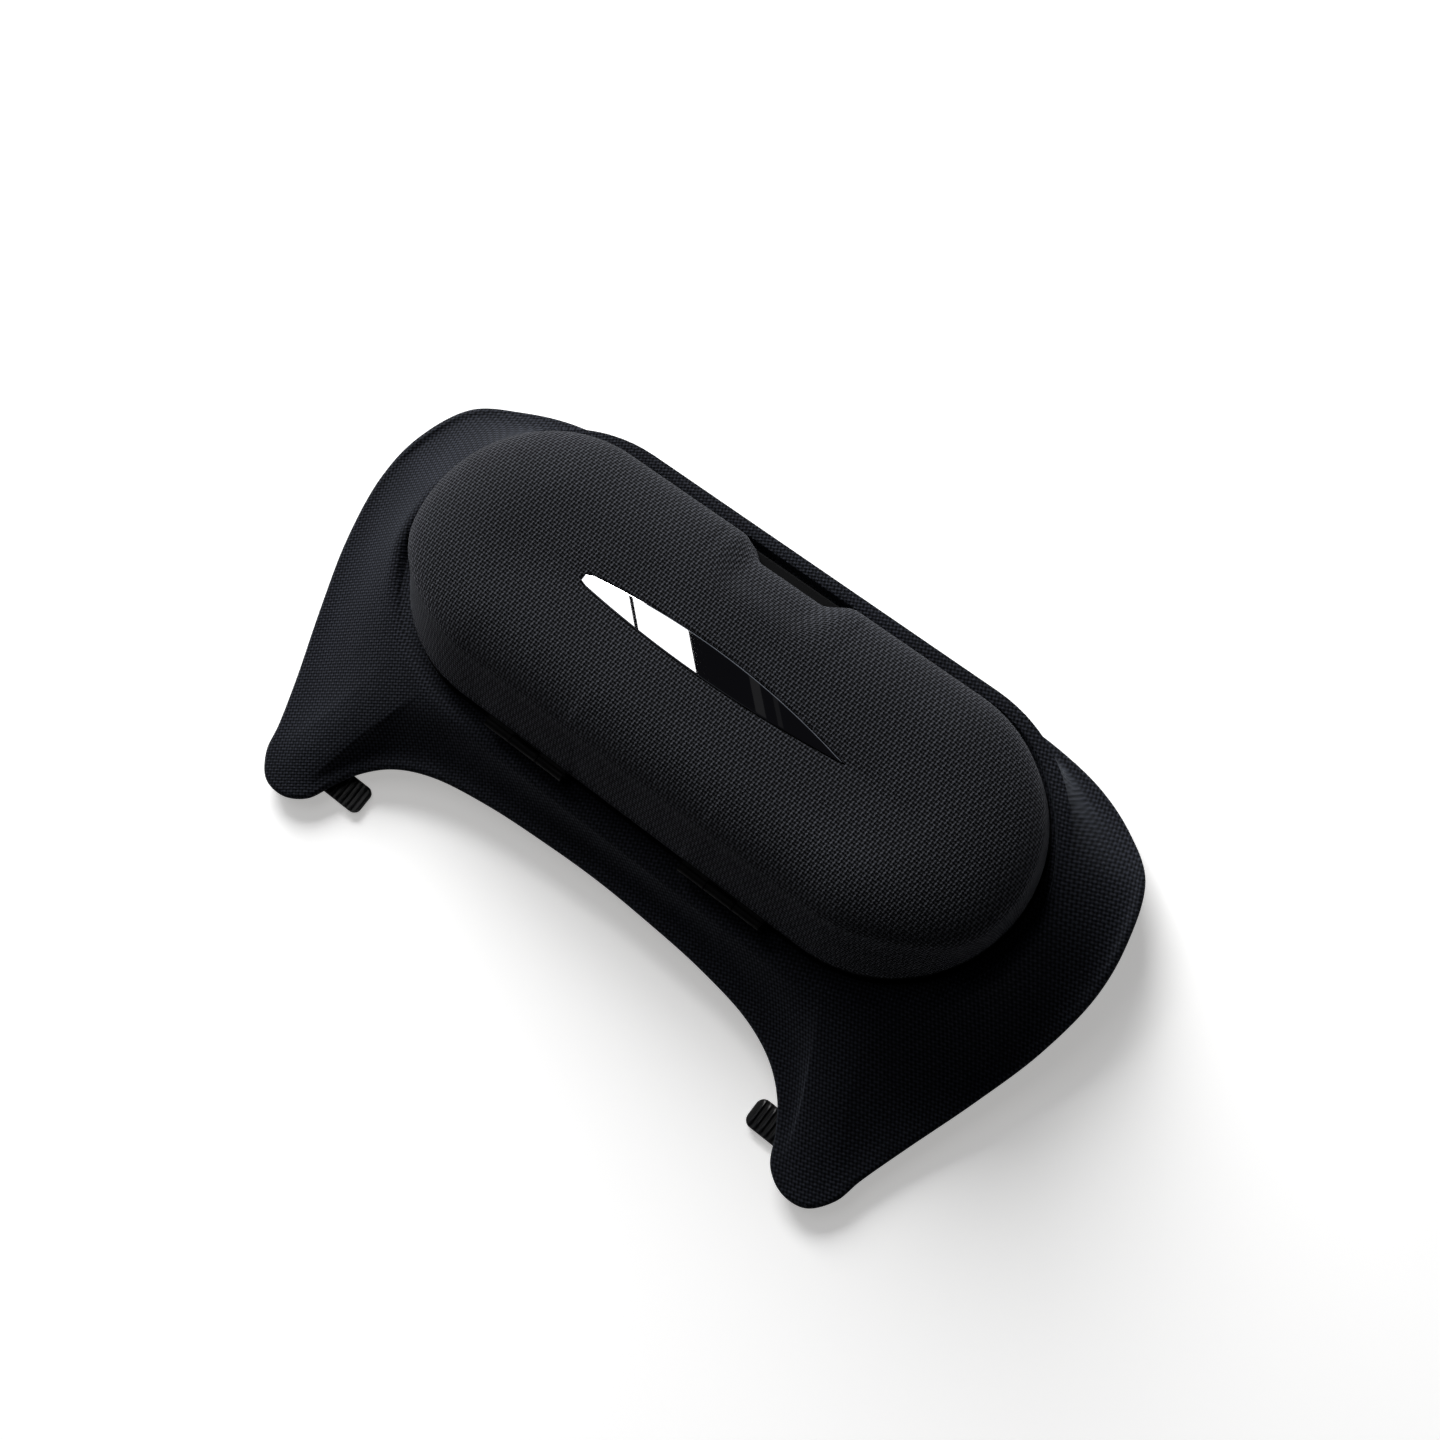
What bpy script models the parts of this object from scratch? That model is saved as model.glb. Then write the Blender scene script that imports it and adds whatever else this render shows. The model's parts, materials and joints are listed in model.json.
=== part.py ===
"""Storage case on a clip-on saddle plate for a chair headrest.

The case (pod) is a long padded box with a hinged lid. It stands on a U-shaped saddle plate with two legs.
Every size is in metres. X runs along the case, +Y points to the finger notch, +Z points up.
Positions are counted from the middle of the case, on the table; CASE_Y then moves everything so that the
part's own origin is in the middle of its footprint.
"""

import math

import bmesh
import bpy
from mathutils import Vector

MM = 0.001
UP = Vector((0.0, 0.0, 1.0))

# Case: a stadium in plan, two half circles joined by straight sides.
CASE_Y = 20.1 * MM
CASE_HALF_STRAIGHT = 52.3 * MM
CASE_RADIUS = 35.7 * MM
SEAM_Z = 23.5 * MM
LID_TOP_Z = 43.5 * MM
LID_GAP = 0.3 * MM
FIT_GAP = 0.3 * MM

# Lid section: the wall leans in up to a shoulder, then a wide elliptical edge rolls onto the flat middle.
# Each value is for the far side, and the next two lines add to it on the leg side and at the ends.
LID_SECTION = {"lean": 1.0 * MM, "shoulder": 9.5 * MM, "edge": 20.0 * MM}
LID_SECTION_NEAR = {"lean": 5.5 * MM, "shoulder": 3.0 * MM, "edge": -5.0 * MM}
LID_SECTION_END = {"lean": 0.0, "shoulder": 0.5 * MM, "edge": 4.0 * MM}
LID_FLAT_INSET = 25.5 * MM
LID_EDGE_STEPS = 4

# Layers of the lid, counted inwards from the knit's outer face: (start, end).
LID_KNIT = (0.0, 0.8 * MM)
LID_FOAM = (1.2 * MM, 2.4 * MM)
LID_SHELL = (2.7 * MM, 4.5 * MM)
LID_LINER = (4.8 * MM, 5.6 * MM)
LID_FRAME_HEIGHT = 2.5 * MM
LID_FRAME_INSETS = (1.3 * MM, 7.0 * MM)

# Finger notch in the far wall of the lid.
NOTCH_DEPTH = 3.8 * MM
NOTCH_FLOOR_HALF = 8.5 * MM
NOTCH_MOUTH_HALF = 17.2 * MM
NOTCH_FADE = (6.0 * MM, 20.0 * MM)

# Tray: the tub inside the plate, with a thick rim that stands on the carrier's ledge.
TRAY_RIM_Z = SEAM_Z - 0.2 * MM
TRAY_RIM_BOTTOM_Z = 18.7 * MM
TRAY_FLOOR_Z = 5.2 * MM
TRAY_BOTTOM_Z = 3.3 * MM
TRAY_RIM_INSETS = (0.3 * MM, 6.0 * MM)
TRAY_WALL_INSET = 4.4 * MM
TRAY_LINER_THICKNESS = 0.8 * MM

# Saddle plate. Rim control points (x, y, top z) of the right half, from the far middle round the wing
# corner and the leg to the near middle.
PLATE_RIM = [
    (0.0, 42.3, 5.0),
    (44.0, 42.3, 5.0),
    (70.0, 41.7, 4.5),
    (84.0, 39.3, 4.5),
    (95.5, 34.2, 6.0),
    (105.0, 26.0, 11.0),
    (110.2, 11.0, 14.0),
    (111.6, -3.0, 13.0),
    (108.9, -21.0, 10.8),
    (103.4, -39.0, 8.5),
    (97.0, -57.0, 6.5),
    (93.0, -69.0, 5.8),
    (91.2, -76.0, 5.5),
    (86.5, -81.6, 5.3),
    (80.0, -82.3, 5.3),
    (74.3, -79.0, 5.5),
    (70.6, -72.0, 6.0),
    (66.6, -66.0, 7.0),
    (60.0, -60.2, 8.5),
    (50.0, -55.8, 9.5),
    (34.0, -53.0, 10.0),
    (16.0, -51.7, 10.5),
    (0.0, -51.2, 10.5),
]
RIM_STEPS = 2
FAN_EVENNESS = 0.15
FAN_EVEN_SPAN = (85.0 * MM, 125.0 * MM)
FAN_BEND = 4.5 * MM
SLOPE_POWER = 2.2
SLOPE_END_INSET = 1.6 * MM
SLOPE_DROP = 0.4 * MM
RIM_WALL = 2.9 * MM
RIM_UNDERCUT = 0.8 * MM
KNIT_THICKNESS = 0.8 * MM
CARRIER_DEPTH = KNIT_THICKNESS + FIT_GAP
CARRIER_THICKNESS = 1.9 * MM
LEDGE_Z = TRAY_RIM_BOTTOM_Z - FIT_GAP
LEDGE_INSET = 3.3 * MM

# Lip around the case: (distance out from the case wall, height under the seam) of its crest, for an outward
# direction at the far side, at the ends and on the leg side, where the lip flattens out.
CREST_FAR = (1.7 * MM, 1.0 * MM)
CREST_END = (4.8 * MM, 1.0 * MM)
CREST_NEAR = (5.8 * MM, 3.6 * MM)
SLOPE_START_FAR = 4.9 * MM
SLOPE_START_PAST_CREST = 1.0 * MM
GAP_START = 0.6 * MM
GAP_DEPTH = 4.0 * MM
LIP_WALL_SHARE = 0.62
LIP_TURN = [(0.0, 1.0), (0.55, 1.0), (LIP_WALL_SHARE, 0.45), (0.75, 0.12), (1.0, 0.0)]

# Hinges in the shut gap on the leg side.
HINGE_XS = (-30.0 * MM, 30.0 * MM)
HINGE_Y = -(CASE_RADIUS + 1.5 * MM)
BARREL_RADIUS = 1.2 * MM
BARREL_BORE = 0.6 * MM
PIN_RADIUS = 0.5 * MM
HINGE_LENGTH = 24.0 * MM
KNUCKLE_HALF = 4.0 * MM
LEAF_THICKNESS = 0.75 * MM
LEAF_REACH = 7.2 * MM
LEAF_ROOT = 0.85 * MM
LEAF_HOLE_RADIUS = 1.1 * MM
LEAF_SCREW_INSET = 2.4 * MM
BARREL_SIDES = 12
LEAF_SCREW_XS = {"base": 3.5 * MM, "lid": 7.5 * MM}
LEAF_SCREW_GAP = 0.3 * MM

# Screws: (head radius, head height, shank radius, shank length).
LEAF_SCREW = (1.3 * MM, 0.25 * MM, 0.8 * MM, 1.9 * MM)
TONGUE_SCREW = (1.8 * MM, 0.8 * MM, 1.0 * MM, 2.7 * MM)
TRAY_SCREW = (2.5 * MM, 1.5 * MM, 1.2 * MM, 5.0 * MM)
TRAY_SCREW_INSET = 1.7 * MM
TRAY_SCREW_ANGLE = math.radians(60)
SCREW_SIDES = 8

# Latch: magnets in the lid frame over steel plates in the tray rim.
LATCH_XS = (-34.0 * MM, 34.0 * MM)
LATCH_Y = 31.9 * MM
LATCH_SIZE = (12.0 * MM, 2.4 * MM)
MAGNET_HEIGHT = 1.1 * MM
STRIKER_HEIGHT = 0.9 * MM
BUMPER_X = 47.0 * MM
BUMPER_RADIUS = 1.5 * MM

# Blade trim in the top of the lid.
BLADE_HALF_LENGTH = 38.2 * MM
BLADE_Y = 1.8 * MM
BLADE_FAR_BULGE = 4.1 * MM
BLADE_NEAR_BULGE = 2.7 * MM
BLADE_BLUNT_END = 1.3 * MM
BLADE_STEPS = 12

# Clip tongues under the leg tips.
TONGUE_TIP_X = 62.5 * MM
TONGUE_ROOT_X = 87.0 * MM
TONGUE_YS = (-75.0 * MM, -67.3 * MM)
TONGUE_ZS = (0.2 * MM, 2.1 * MM)
TONGUE_RIBS = 5
TONGUE_RIB_HEIGHT = 0.5 * MM
TONGUE_RIB_PITCH = 1.5 * MM
TONGUE_RIB_HALF = 0.35 * MM
TONGUE_CORNER = 2.0 * MM
TONGUE_SCREW_XS = (76.5 * MM, 83.5 * MM)

PAD_SIZE = (58.0 * MM, 38.0 * MM, 3.0 * MM)
PAD_X = 32.0 * MM

CAP_STEPS = 10
FAR_STATIONS = [0.0, NOTCH_FLOOR_HALF, 11.0 * MM, 13.2 * MM, 15.5 * MM, NOTCH_MOUTH_HALF, 35.0 * MM]
NEAR_STATIONS = [0.0, 26.0 * MM]

MATERIALS = {
    "plate_knit": ((0.010, 0.012, 0.018), 0.85, 0.0),
    "lid_knit": ((0.016, 0.016, 0.020), 0.85, 0.0),
    "black_abs": ((0.020, 0.020, 0.021), 0.45, 0.0),
    "foam": ((0.060, 0.060, 0.065), 0.95, 0.0),
    "felt": ((0.035, 0.036, 0.040), 0.95, 0.0),
    "mirror_steel": ((0.85, 0.85, 0.86), 0.06, 1.0),
    "zinc_steel": ((0.55, 0.55, 0.56), 0.35, 1.0),
    "black_steel": ((0.020, 0.020, 0.021), 0.40, 1.0),
    "rubber": ((0.018, 0.018, 0.018), 0.70, 0.0),
    "adhesive": ((0.30, 0.30, 0.29), 0.60, 0.0),
}


def clear_scene():
    for obj in list(bpy.data.objects):
        bpy.data.objects.remove(obj, do_unlink=True)


def make_material(name):
    colour, roughness, metallic = MATERIALS[name]
    material = bpy.data.materials.get(name)
    if material is None:
        material = bpy.data.materials.new(name)
        material.use_nodes = True
        shader = material.node_tree.nodes["Principled BSDF"]
        shader.inputs["Base Color"].default_value = (*colour, 1.0)
        shader.inputs["Roughness"].default_value = roughness
        shader.inputs["Metallic"].default_value = metallic
    return material


def make_empty(name, location):
    empty = bpy.data.objects.new(name, None)
    bpy.context.scene.collection.objects.link(empty)
    empty.location = location
    return empty


def make_object(name, bm, material, smooth_angle=35.0):
    """Closes the mesh, turns its faces outwards and links it."""
    bmesh.ops.recalc_face_normals(bm, faces=bm.faces)
    mesh = bpy.data.meshes.new(name)
    bm.to_mesh(mesh)
    bm.free()
    mesh.materials.append(make_material(material))
    mesh.shade_smooth()
    mesh.set_sharp_from_angle(angle=math.radians(smooth_angle))
    obj = bpy.data.objects.new(name, mesh)
    bpy.context.scene.collection.objects.link(obj)
    return obj


def hang_on(obj, empty):
    """Parents to an empty and keeps the mesh where it was modelled, in case coordinates."""
    obj.parent = empty
    obj.location = Vector((0.0, CASE_Y, 0.0)) - empty.location
    return obj


def ring_body(rings, closed, turn_from=None):
    """Skins equal rings of points: a torus-like body when closed, else capped at both ends.

    With turn_from, each quad is split in two, and the diagonal changes sides from that ring on. Facing walls
    of two nested sheets then share their diagonals and keep their gap.
    """
    bm = bmesh.new()
    rows = [[bm.verts.new(point) for point in ring] for ring in rings]
    pairs = list(zip(rows, rows[1:]))
    if closed:
        pairs.append((rows[-1], rows[0]))
    count = len(rows[0])
    for row, (lower, upper) in enumerate(pairs):
        for i in range(count):
            j = (i + 1) % count
            if turn_from is None:
                bm.faces.new((lower[i], lower[j], upper[j], upper[i]))
            elif row < turn_from:
                bm.faces.new((lower[i], lower[j], upper[j]))
                bm.faces.new((lower[i], upper[j], upper[i]))
            else:
                bm.faces.new((lower[i], lower[j], upper[i]))
                bm.faces.new((lower[j], upper[j], upper[i]))
    if not closed:
        bm.faces.new(rows[0])
        bm.faces.new(rows[-1])
    return bm


def prism_body(outline, low_z, high_z):
    low = [(x, y, low_z) for x, y in outline]
    high = [(x, y, high_z) for x, y in outline]
    return ring_body([low, high], closed=False)


def box_body(low, high):
    outline = [(low[0], low[1]), (high[0], low[1]), (high[0], high[1]), (low[0], high[1])]
    return prism_body(outline, low[2], high[2])


def circle(radius, sides, centre=(0.0, 0.0)):
    step = 2.0 * math.pi / sides
    return [
        (centre[0] + radius * math.cos(step * i), centre[1] + radius * math.sin(step * i)) for i in range(sides)
    ]


def cut(obj, body):
    """Takes the body out of the object with a Boolean, and keeps the cutter as a hidden guide."""
    name = f"{obj.name}_cutter"
    cutter = make_object(name, body, "rubber")
    cutter.parent = obj.parent
    cutter.location = obj.location
    cutter.hide_render = True
    cutter.hide_viewport = False
    cutter.display_type = "WIRE"
    modifier = obj.modifiers.new("cut", "BOOLEAN")
    modifier.operation = "DIFFERENCE"
    modifier.solver = "EXACT"
    modifier.object = cutter


def smooth_step(value, low, high):
    share = min(max((value - low) / (high - low), 0.0), 1.0)
    return share * share * (3.0 - 2.0 * share)


# ---------------------------------------------------------------- case outline


def case_outline(inset, notch=1.0, lean=0.0):
    """Plan outline of the case at an inset, clockwise from the far left.

    notch scales the finger notch, and lean deepens it, which keeps the notch upright in a leaning wall.
    """
    radius = CASE_RADIUS - inset
    half = CASE_HALF_STRAIGHT
    far = sorted({-x for x in FAR_STATIONS} | set(FAR_STATIONS) | {-half, half})
    near = sorted({-x for x in NEAR_STATIONS} | set(NEAR_STATIONS) | {-half, half}, reverse=True)
    points = []
    for x in far:
        bite = 1.0 - smooth_step(abs(x), NOTCH_FLOOR_HALF, NOTCH_MOUTH_HALF)
        points.append((x, radius - (NOTCH_DEPTH * notch + lean) * bite))
    for i in range(1, CAP_STEPS):
        angle = math.pi * (0.5 - i / CAP_STEPS)
        points.append((half + radius * math.cos(angle), radius * math.sin(angle)))
    points += [(x, -radius) for x in near]
    for i in range(1, CAP_STEPS):
        angle = -math.pi * (0.5 + i / CAP_STEPS)
        points.append((-half + radius * math.cos(angle), radius * math.sin(angle)))
    return points


def case_ring(inset, z, notch=1.0, lean=0.0):
    return [(x, y, z) for x, y in case_outline(inset, notch, lean)]


def case_directions():
    """Outward direction at each point of the case outline."""
    half = CASE_HALF_STRAIGHT
    directions = []
    for x, y in case_outline(0.0, notch=0.0):
        out = Vector((x - min(max(x, -half), half), y))
        directions.append(out.normalized())
    return directions


# ---------------------------------------------------------------- lid


def lid_section(out):
    """Wall lean, shoulder height above the seam and edge width of the lid, for an outward direction."""
    near = smooth_step(-out.y, 0.3, 1.0)
    end = smooth_step(abs(out.x), 0.0, 1.0)
    return [LID_SECTION[key] + LID_SECTION_NEAR[key] * near + LID_SECTION_END[key] * end for key in LID_SECTION]


def lid_rings(depth, foot_z):
    """Rings of the lid surface that lies at a depth under the knit, from its foot to the flat middle.

    The notch stands upright in the wall and fades out on the top.
    """
    height = LID_TOP_Z - SEAM_Z
    rings = [[] for _ in range(LID_EDGE_STEPS + 3)]
    for i, out in enumerate(case_directions()):
        lean, shoulder, edge = lid_section(out)
        profile = [(depth + lean * (foot_z - SEAM_Z) / shoulder, foot_z)]
        for step in range(LID_EDGE_STEPS + 1):
            angle = 0.5 * math.pi * step / LID_EDGE_STEPS
            inset = lean + edge - (edge - depth) * math.cos(angle)
            profile.append((inset, SEAM_Z + shoulder + (height - shoulder - depth) * math.sin(angle)))
        profile.append((LID_FLAT_INSET, LID_TOP_Z - depth))
        for ring, (inset, z) in zip(rings, profile):
            upright = max(lean + depth - inset, 0.0)
            x, y = case_outline(inset, 1.0 - smooth_step(inset - depth, *NOTCH_FADE), upright)[i]
            ring.append((x, y, z))
    return rings


def lid_layer(name, layer, foot_z, material):
    """One thin shell of the lid, closed along its foot."""
    outer, inner = layer
    inside = lid_rings(inner, foot_z)[::-1]
    rings = inside + lid_rings(outer, foot_z)
    return make_object(name, ring_body(rings, closed=False, turn_from=len(inside)), material)


def lid_frame_body(foot):
    """Frame section, which follows the lid's wall outside and stands upright inside."""
    outer_inset, inner_inset = LID_FRAME_INSETS
    corners = []
    section = ((outer_inset, 0.0, 1.0), (outer_inset, 1.0, 1.0), (inner_inset, 1.0, 0.0), (inner_inset, 0.0, 0.0))
    for inset, rise, follow in section:
        z = foot + LID_FRAME_HEIGHT * rise
        ring = []
        for i, out in enumerate(case_directions()):
            lean, shoulder, _ = lid_section(out)
            wall = lean * (z - SEAM_Z) / shoulder * follow
            upright = LID_SECTION["lean"] - wall if out.y > 0.999 else 0.0
            x, y = case_outline(inset + wall, 1.0, max(upright, 0.0))[i]
            ring.append((x, y, z))
        corners.append(ring)
    return ring_body(corners, closed=True)


def blade_outline(grow=0.0):
    """Blade: two shallow arcs that meet in a point at the right and in a blunt end at the left."""
    half = BLADE_HALF_LENGTH
    far, near = [], []
    for i in range(1, BLADE_STEPS):
        share = i / BLADE_STEPS
        x = -half + 2.0 * half * share
        blunt = BLADE_BLUNT_END * (1.0 - share) ** 2
        arc = 4.0 * share * (1.0 - share)
        far.append((x, BLADE_Y + BLADE_FAR_BULGE * arc + blunt + grow))
        near.append((x, BLADE_Y - BLADE_NEAR_BULGE * arc - blunt - grow))
    left = [(-half - grow, BLADE_Y - 0.6 * BLADE_BLUNT_END), (-half - grow, BLADE_Y + 0.6 * BLADE_BLUNT_END)]
    return left + far + [(half + 3.0 * grow, BLADE_Y)] + near[::-1]


def make_lid(axis):
    foot = SEAM_Z + LID_GAP
    above_frame = foot + LID_FRAME_HEIGHT + FIT_GAP
    leaf_z = SEAM_Z + 1.2 * MM

    knit = hang_on(lid_layer("lid_fabric_cover", LID_KNIT, foot, "lid_knit"), axis)
    foam = hang_on(lid_layer("lid_foam", LID_FOAM, above_frame, "foam"), axis)
    hang_on(lid_layer("lid_shell", LID_SHELL, above_frame, "black_abs"), axis)
    hang_on(lid_layer("lid_liner", LID_LINER, above_frame, "felt"), axis)
    frame = hang_on(make_object("lid_frame", lid_frame_body(foot), "black_abs"), axis)

    window = 0.3 * MM
    for layer_object, layer in ((knit, LID_KNIT), (foam, LID_FOAM)):
        low = LID_TOP_Z - layer[1] - 1.0 * MM
        cut(layer_object, prism_body(blade_outline(window), low, LID_TOP_Z + 1.0 * MM))
    trim_low = LID_TOP_Z - LID_SHELL[0] + FIT_GAP
    glue_top = trim_low + 0.4 * MM
    blade = prism_body(blade_outline(), glue_top + FIT_GAP, LID_TOP_Z + 0.2 * MM)
    hang_on(make_object("blade_trim", blade, "mirror_steel"), axis)
    glue = prism_body(blade_outline(-0.5 * MM), trim_low, glue_top)
    hang_on(make_object("trim_adhesive", glue, "adhesive"), axis)

    for side, x in zip(("left", "right"), LATCH_XS):
        pocket_low = (x - LATCH_SIZE[0] / 2 - FIT_GAP, LATCH_Y - LATCH_SIZE[1] / 2 - FIT_GAP, foot - MM)
        pocket_top = foot + 0.1 * MM + MAGNET_HEIGHT + FIT_GAP
        pocket_high = (x + LATCH_SIZE[0] / 2 + FIT_GAP, LATCH_Y + LATCH_SIZE[1] / 2 + FIT_GAP, pocket_top)
        cut(frame, box_body(pocket_low, pocket_high))
        magnet_low = (x - LATCH_SIZE[0] / 2, LATCH_Y - LATCH_SIZE[1] / 2, foot + 0.1 * MM)
        magnet_high = (x + LATCH_SIZE[0] / 2, LATCH_Y + LATCH_SIZE[1] / 2, foot + 0.1 * MM + MAGNET_HEIGHT)
        magnet = make_object(f"lid_magnet_{side}", box_body(magnet_low, magnet_high), "zinc_steel")
        hang_on(magnet, axis)

    for side, x in zip(("left", "right"), HINGE_XS):
        half = HINGE_LENGTH / 2 + FIT_GAP
        recess_low = (x - half, HINGE_Y - 3.0 * MM, foot - MM)
        recess_high = (x + half, HINGE_Y + LEAF_REACH + FIT_GAP, leaf_z + FIT_GAP)
        cut(frame, box_body(recess_low, recess_high))
        cut(knit, box_body(recess_low, recess_high))
        make_leaf("lid", side, x, axis)
        for direction in (-1, 1):
            screw_x = x + direction * LEAF_SCREW_XS["lid"]
            outline = circle(LEAF_HOLE_RADIUS, SCREW_SIDES, (screw_x, leaf_screw_y()))
            hole = prism_body(outline, leaf_z - MM, foot + 2.2 * MM)
            cut(frame, hole)
            name = f"lid_leaf_screw_{side}_{'inner' if direction * x < 0 else 'outer'}"
            head_z = leaf_z - LEAF_THICKNESS - LEAF_SCREW_GAP
            screw = screw_body((screw_x, leaf_screw_y()), head_z, LEAF_SCREW)
            hang_on(make_object(name, screw, "zinc_steel"), axis)


# ---------------------------------------------------------------- hinges and screws


def leaf_screw_y():
    return HINGE_Y + LEAF_REACH - LEAF_SCREW_INSET


def screw_body(centre, start_z, sizes, up=1.0):
    """Screw with a socket in its head. The shank points up (1) or down (-1)."""
    head_radius, head_height, shank_radius, shank_length = sizes
    head_end = start_z + up * head_height
    shank_end = head_end + up * shank_length
    slot_floor = start_z + up * 0.4 * head_height
    rings = []
    for radius, z in (
        (0.35 * head_radius, slot_floor),
        (0.45 * head_radius, start_z),
        (head_radius, start_z),
        (head_radius, head_end),
        (shank_radius, head_end),
        (shank_radius, shank_end),
    ):
        rings.append([(x, y, z) for x, y in circle(radius, SCREW_SIDES, centre)])
    return ring_body(rings, closed=False)


def knuckle_body(low_x, high_x):
    """Tube around the hinge axis."""
    outer = circle(BARREL_RADIUS, BARREL_SIDES, (HINGE_Y, SEAM_Z))
    inner = circle(BARREL_BORE, BARREL_SIDES, (HINGE_Y, SEAM_Z))
    rings = []
    for points, x in ((outer, low_x), (outer, high_x), (inner, high_x), (inner, low_x)):
        rings.append([(x, y, z) for y, z in points])
    return ring_body(rings, closed=True)


def make_leaf(kind, side, x, empty):
    """Leaf of one hinge. The base leaf has the middle knuckle, the lid leaf has the two outer ones."""
    half = HINGE_LENGTH / 2
    split = KNUCKLE_HALF
    if kind == "base":
        spans = [(x - split, x + split)]
        low_z, high_z = SEAM_Z - BARREL_RADIUS, SEAM_Z - BARREL_RADIUS + LEAF_THICKNESS
    else:
        spans = [(x - half, x - split - FIT_GAP), (x + split + FIT_GAP, x + half)]
        low_z, high_z = SEAM_Z + BARREL_RADIUS - LEAF_THICKNESS, SEAM_Z + BARREL_RADIUS
    leaf_end = HINGE_Y + LEAF_REACH
    plate = box_body((x - half, HINGE_Y + BARREL_RADIUS + FIT_GAP, low_z), (x + half, leaf_end, high_z))
    leaf = hang_on(make_object(f"hinge_{kind}_leaf_{side}", plate, "black_steel"), empty)
    for low_x, high_x in spans:
        join(leaf, box_body((low_x, HINGE_Y + LEAF_ROOT, low_z), (high_x, leaf_end, high_z)))
        join(leaf, knuckle_body(low_x, high_x))
    for direction in (-1, 1):
        centre = (x + direction * LEAF_SCREW_XS[kind], leaf_screw_y())
        cut(leaf, prism_body(circle(LEAF_HOLE_RADIUS, SCREW_SIDES, centre), low_z - MM, high_z + MM))
    bore = circle(BARREL_BORE, BARREL_SIDES, (HINGE_Y, SEAM_Z))
    ends = [[(end_x, y, z) for y, z in bore] for end_x in (x - half - MM, x + half + MM)]
    cut(leaf, ring_body(ends, closed=False))


def join(obj, body):
    """Adds the body to the object with a Boolean union, and keeps the added body as a hidden guide."""
    name = f"{obj.name}_addition"
    addition = make_object(name, body, "zinc_steel")
    addition.parent = obj.parent
    addition.location = obj.location
    addition.hide_render = True
    addition.display_type = "WIRE"
    modifier = obj.modifiers.new("join", "BOOLEAN")
    modifier.operation = "UNION"
    modifier.solver = "EXACT"
    modifier.object = addition


# ---------------------------------------------------------------- saddle plate


def rim_curve():
    """Right half of the rim: a centripetal Catmull-Rom curve through the control points."""
    points = [Vector(point) * MM for point in PLATE_RIM]
    flip = Vector((-1.0, 1.0, 1.0))
    line = [points[1] * flip] + points + [points[-2] * flip]
    curve = []
    for i in range(1, len(line) - 2):
        for step in range(RIM_STEPS):
            curve.append(spline_point(line[i - 1 : i + 3], step / RIM_STEPS))
    curve.append(points[-1])
    return curve


def spline_point(points, share):
    """Point between the second and the third of four points, by Barry and Goldman's pyramid."""
    knots = [0.0]
    for a, b in zip(points, points[1:]):
        knots.append(knots[-1] + math.sqrt((b - a).length))
    t = knots[1] + (knots[2] - knots[1]) * share

    def blend(a, b, start, end):
        return a.lerp(b, (t - knots[start]) / (knots[end] - knots[start]))

    first = [blend(points[i], points[i + 1], i, i + 1) for i in range(3)]
    second = [blend(first[i], first[i + 1], i, i + 2) for i in range(2)]
    return blend(second[0], second[1], 1, 2)


def case_foot(along):
    """Point and outward direction on the case wall, by distance from the far middle round to the near one."""
    cap = math.pi * CASE_RADIUS
    if along <= CASE_HALF_STRAIGHT:
        return Vector((along, CASE_RADIUS, 0.0)), Vector((0.0, 1.0, 0.0))
    if along >= CASE_HALF_STRAIGHT + cap:
        x = 2.0 * CASE_HALF_STRAIGHT + cap - along
        return Vector((x, -CASE_RADIUS, 0.0)), Vector((0.0, -1.0, 0.0))
    angle = 0.5 * math.pi - (along - CASE_HALF_STRAIGHT) / CASE_RADIUS
    out = Vector((math.cos(angle), math.sin(angle), 0.0))
    return Vector((CASE_HALF_STRAIGHT, 0.0, 0.0)) + out * CASE_RADIUS, out


def nearest_foot(point):
    cap = math.pi * CASE_RADIUS
    if point.x <= CASE_HALF_STRAIGHT:
        if point.y > 0.0:
            return point.x
        return 2.0 * CASE_HALF_STRAIGHT + cap - point.x
    angle = math.atan2(point.y, point.x - CASE_HALF_STRAIGHT)
    return CASE_HALF_STRAIGHT + CASE_RADIUS * (0.5 * math.pi - angle)


def plate_stations():
    """Rim point, its inward direction, case foot and outward direction, all round the plate."""
    half = rim_curve()
    lengths = [0.0]
    for a, b in zip(half, half[1:]):
        lengths.append(lengths[-1] + (b - a).length)
    whole = 2.0 * CASE_HALF_STRAIGHT + math.pi * CASE_RADIUS
    stations = []
    for i, rim in enumerate(half):
        before = half[max(i - 1, 0)]
        after = half[min(i + 1, len(half) - 1)]
        tangent = (after - before).xy.normalized()
        if i in (0, len(half) - 1):
            tangent = Vector((1.0, 0.0)) if i == 0 else Vector((-1.0, 0.0))
        inward = Vector((tangent.y, -tangent.x, 0.0))
        even = whole * lengths[i] / lengths[-1]
        along = nearest_foot(rim)
        along += FAN_EVENNESS * smooth_step(along, *FAN_EVEN_SPAN) * (even - along)
        stations.append((rim, inward, *case_foot(along)))
    flip = Vector((-1.0, 1.0, 1.0))
    mirrored = [tuple(part * flip for part in station) for station in stations[1:-1]]
    return stations + mirrored[::-1]


def crest(out):
    """Distance out and height under the seam of the lip's crest, and where the slope starts, for a direction."""
    far = smooth_step(out.y, 0.0, 0.75)
    wide = smooth_step(-out.y, 0.0, 0.4)
    flat = smooth_step(-out.y, 0.1, 0.95)
    reach = CREST_END[0] + (CREST_FAR[0] - CREST_END[0]) * far + (CREST_NEAR[0] - CREST_END[0]) * wide
    down = CREST_END[1] + (CREST_NEAR[1] - CREST_END[1]) * flat
    start = reach + SLOPE_START_PAST_CREST
    return reach, down, start + (SLOPE_START_FAR - start) * far


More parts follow.
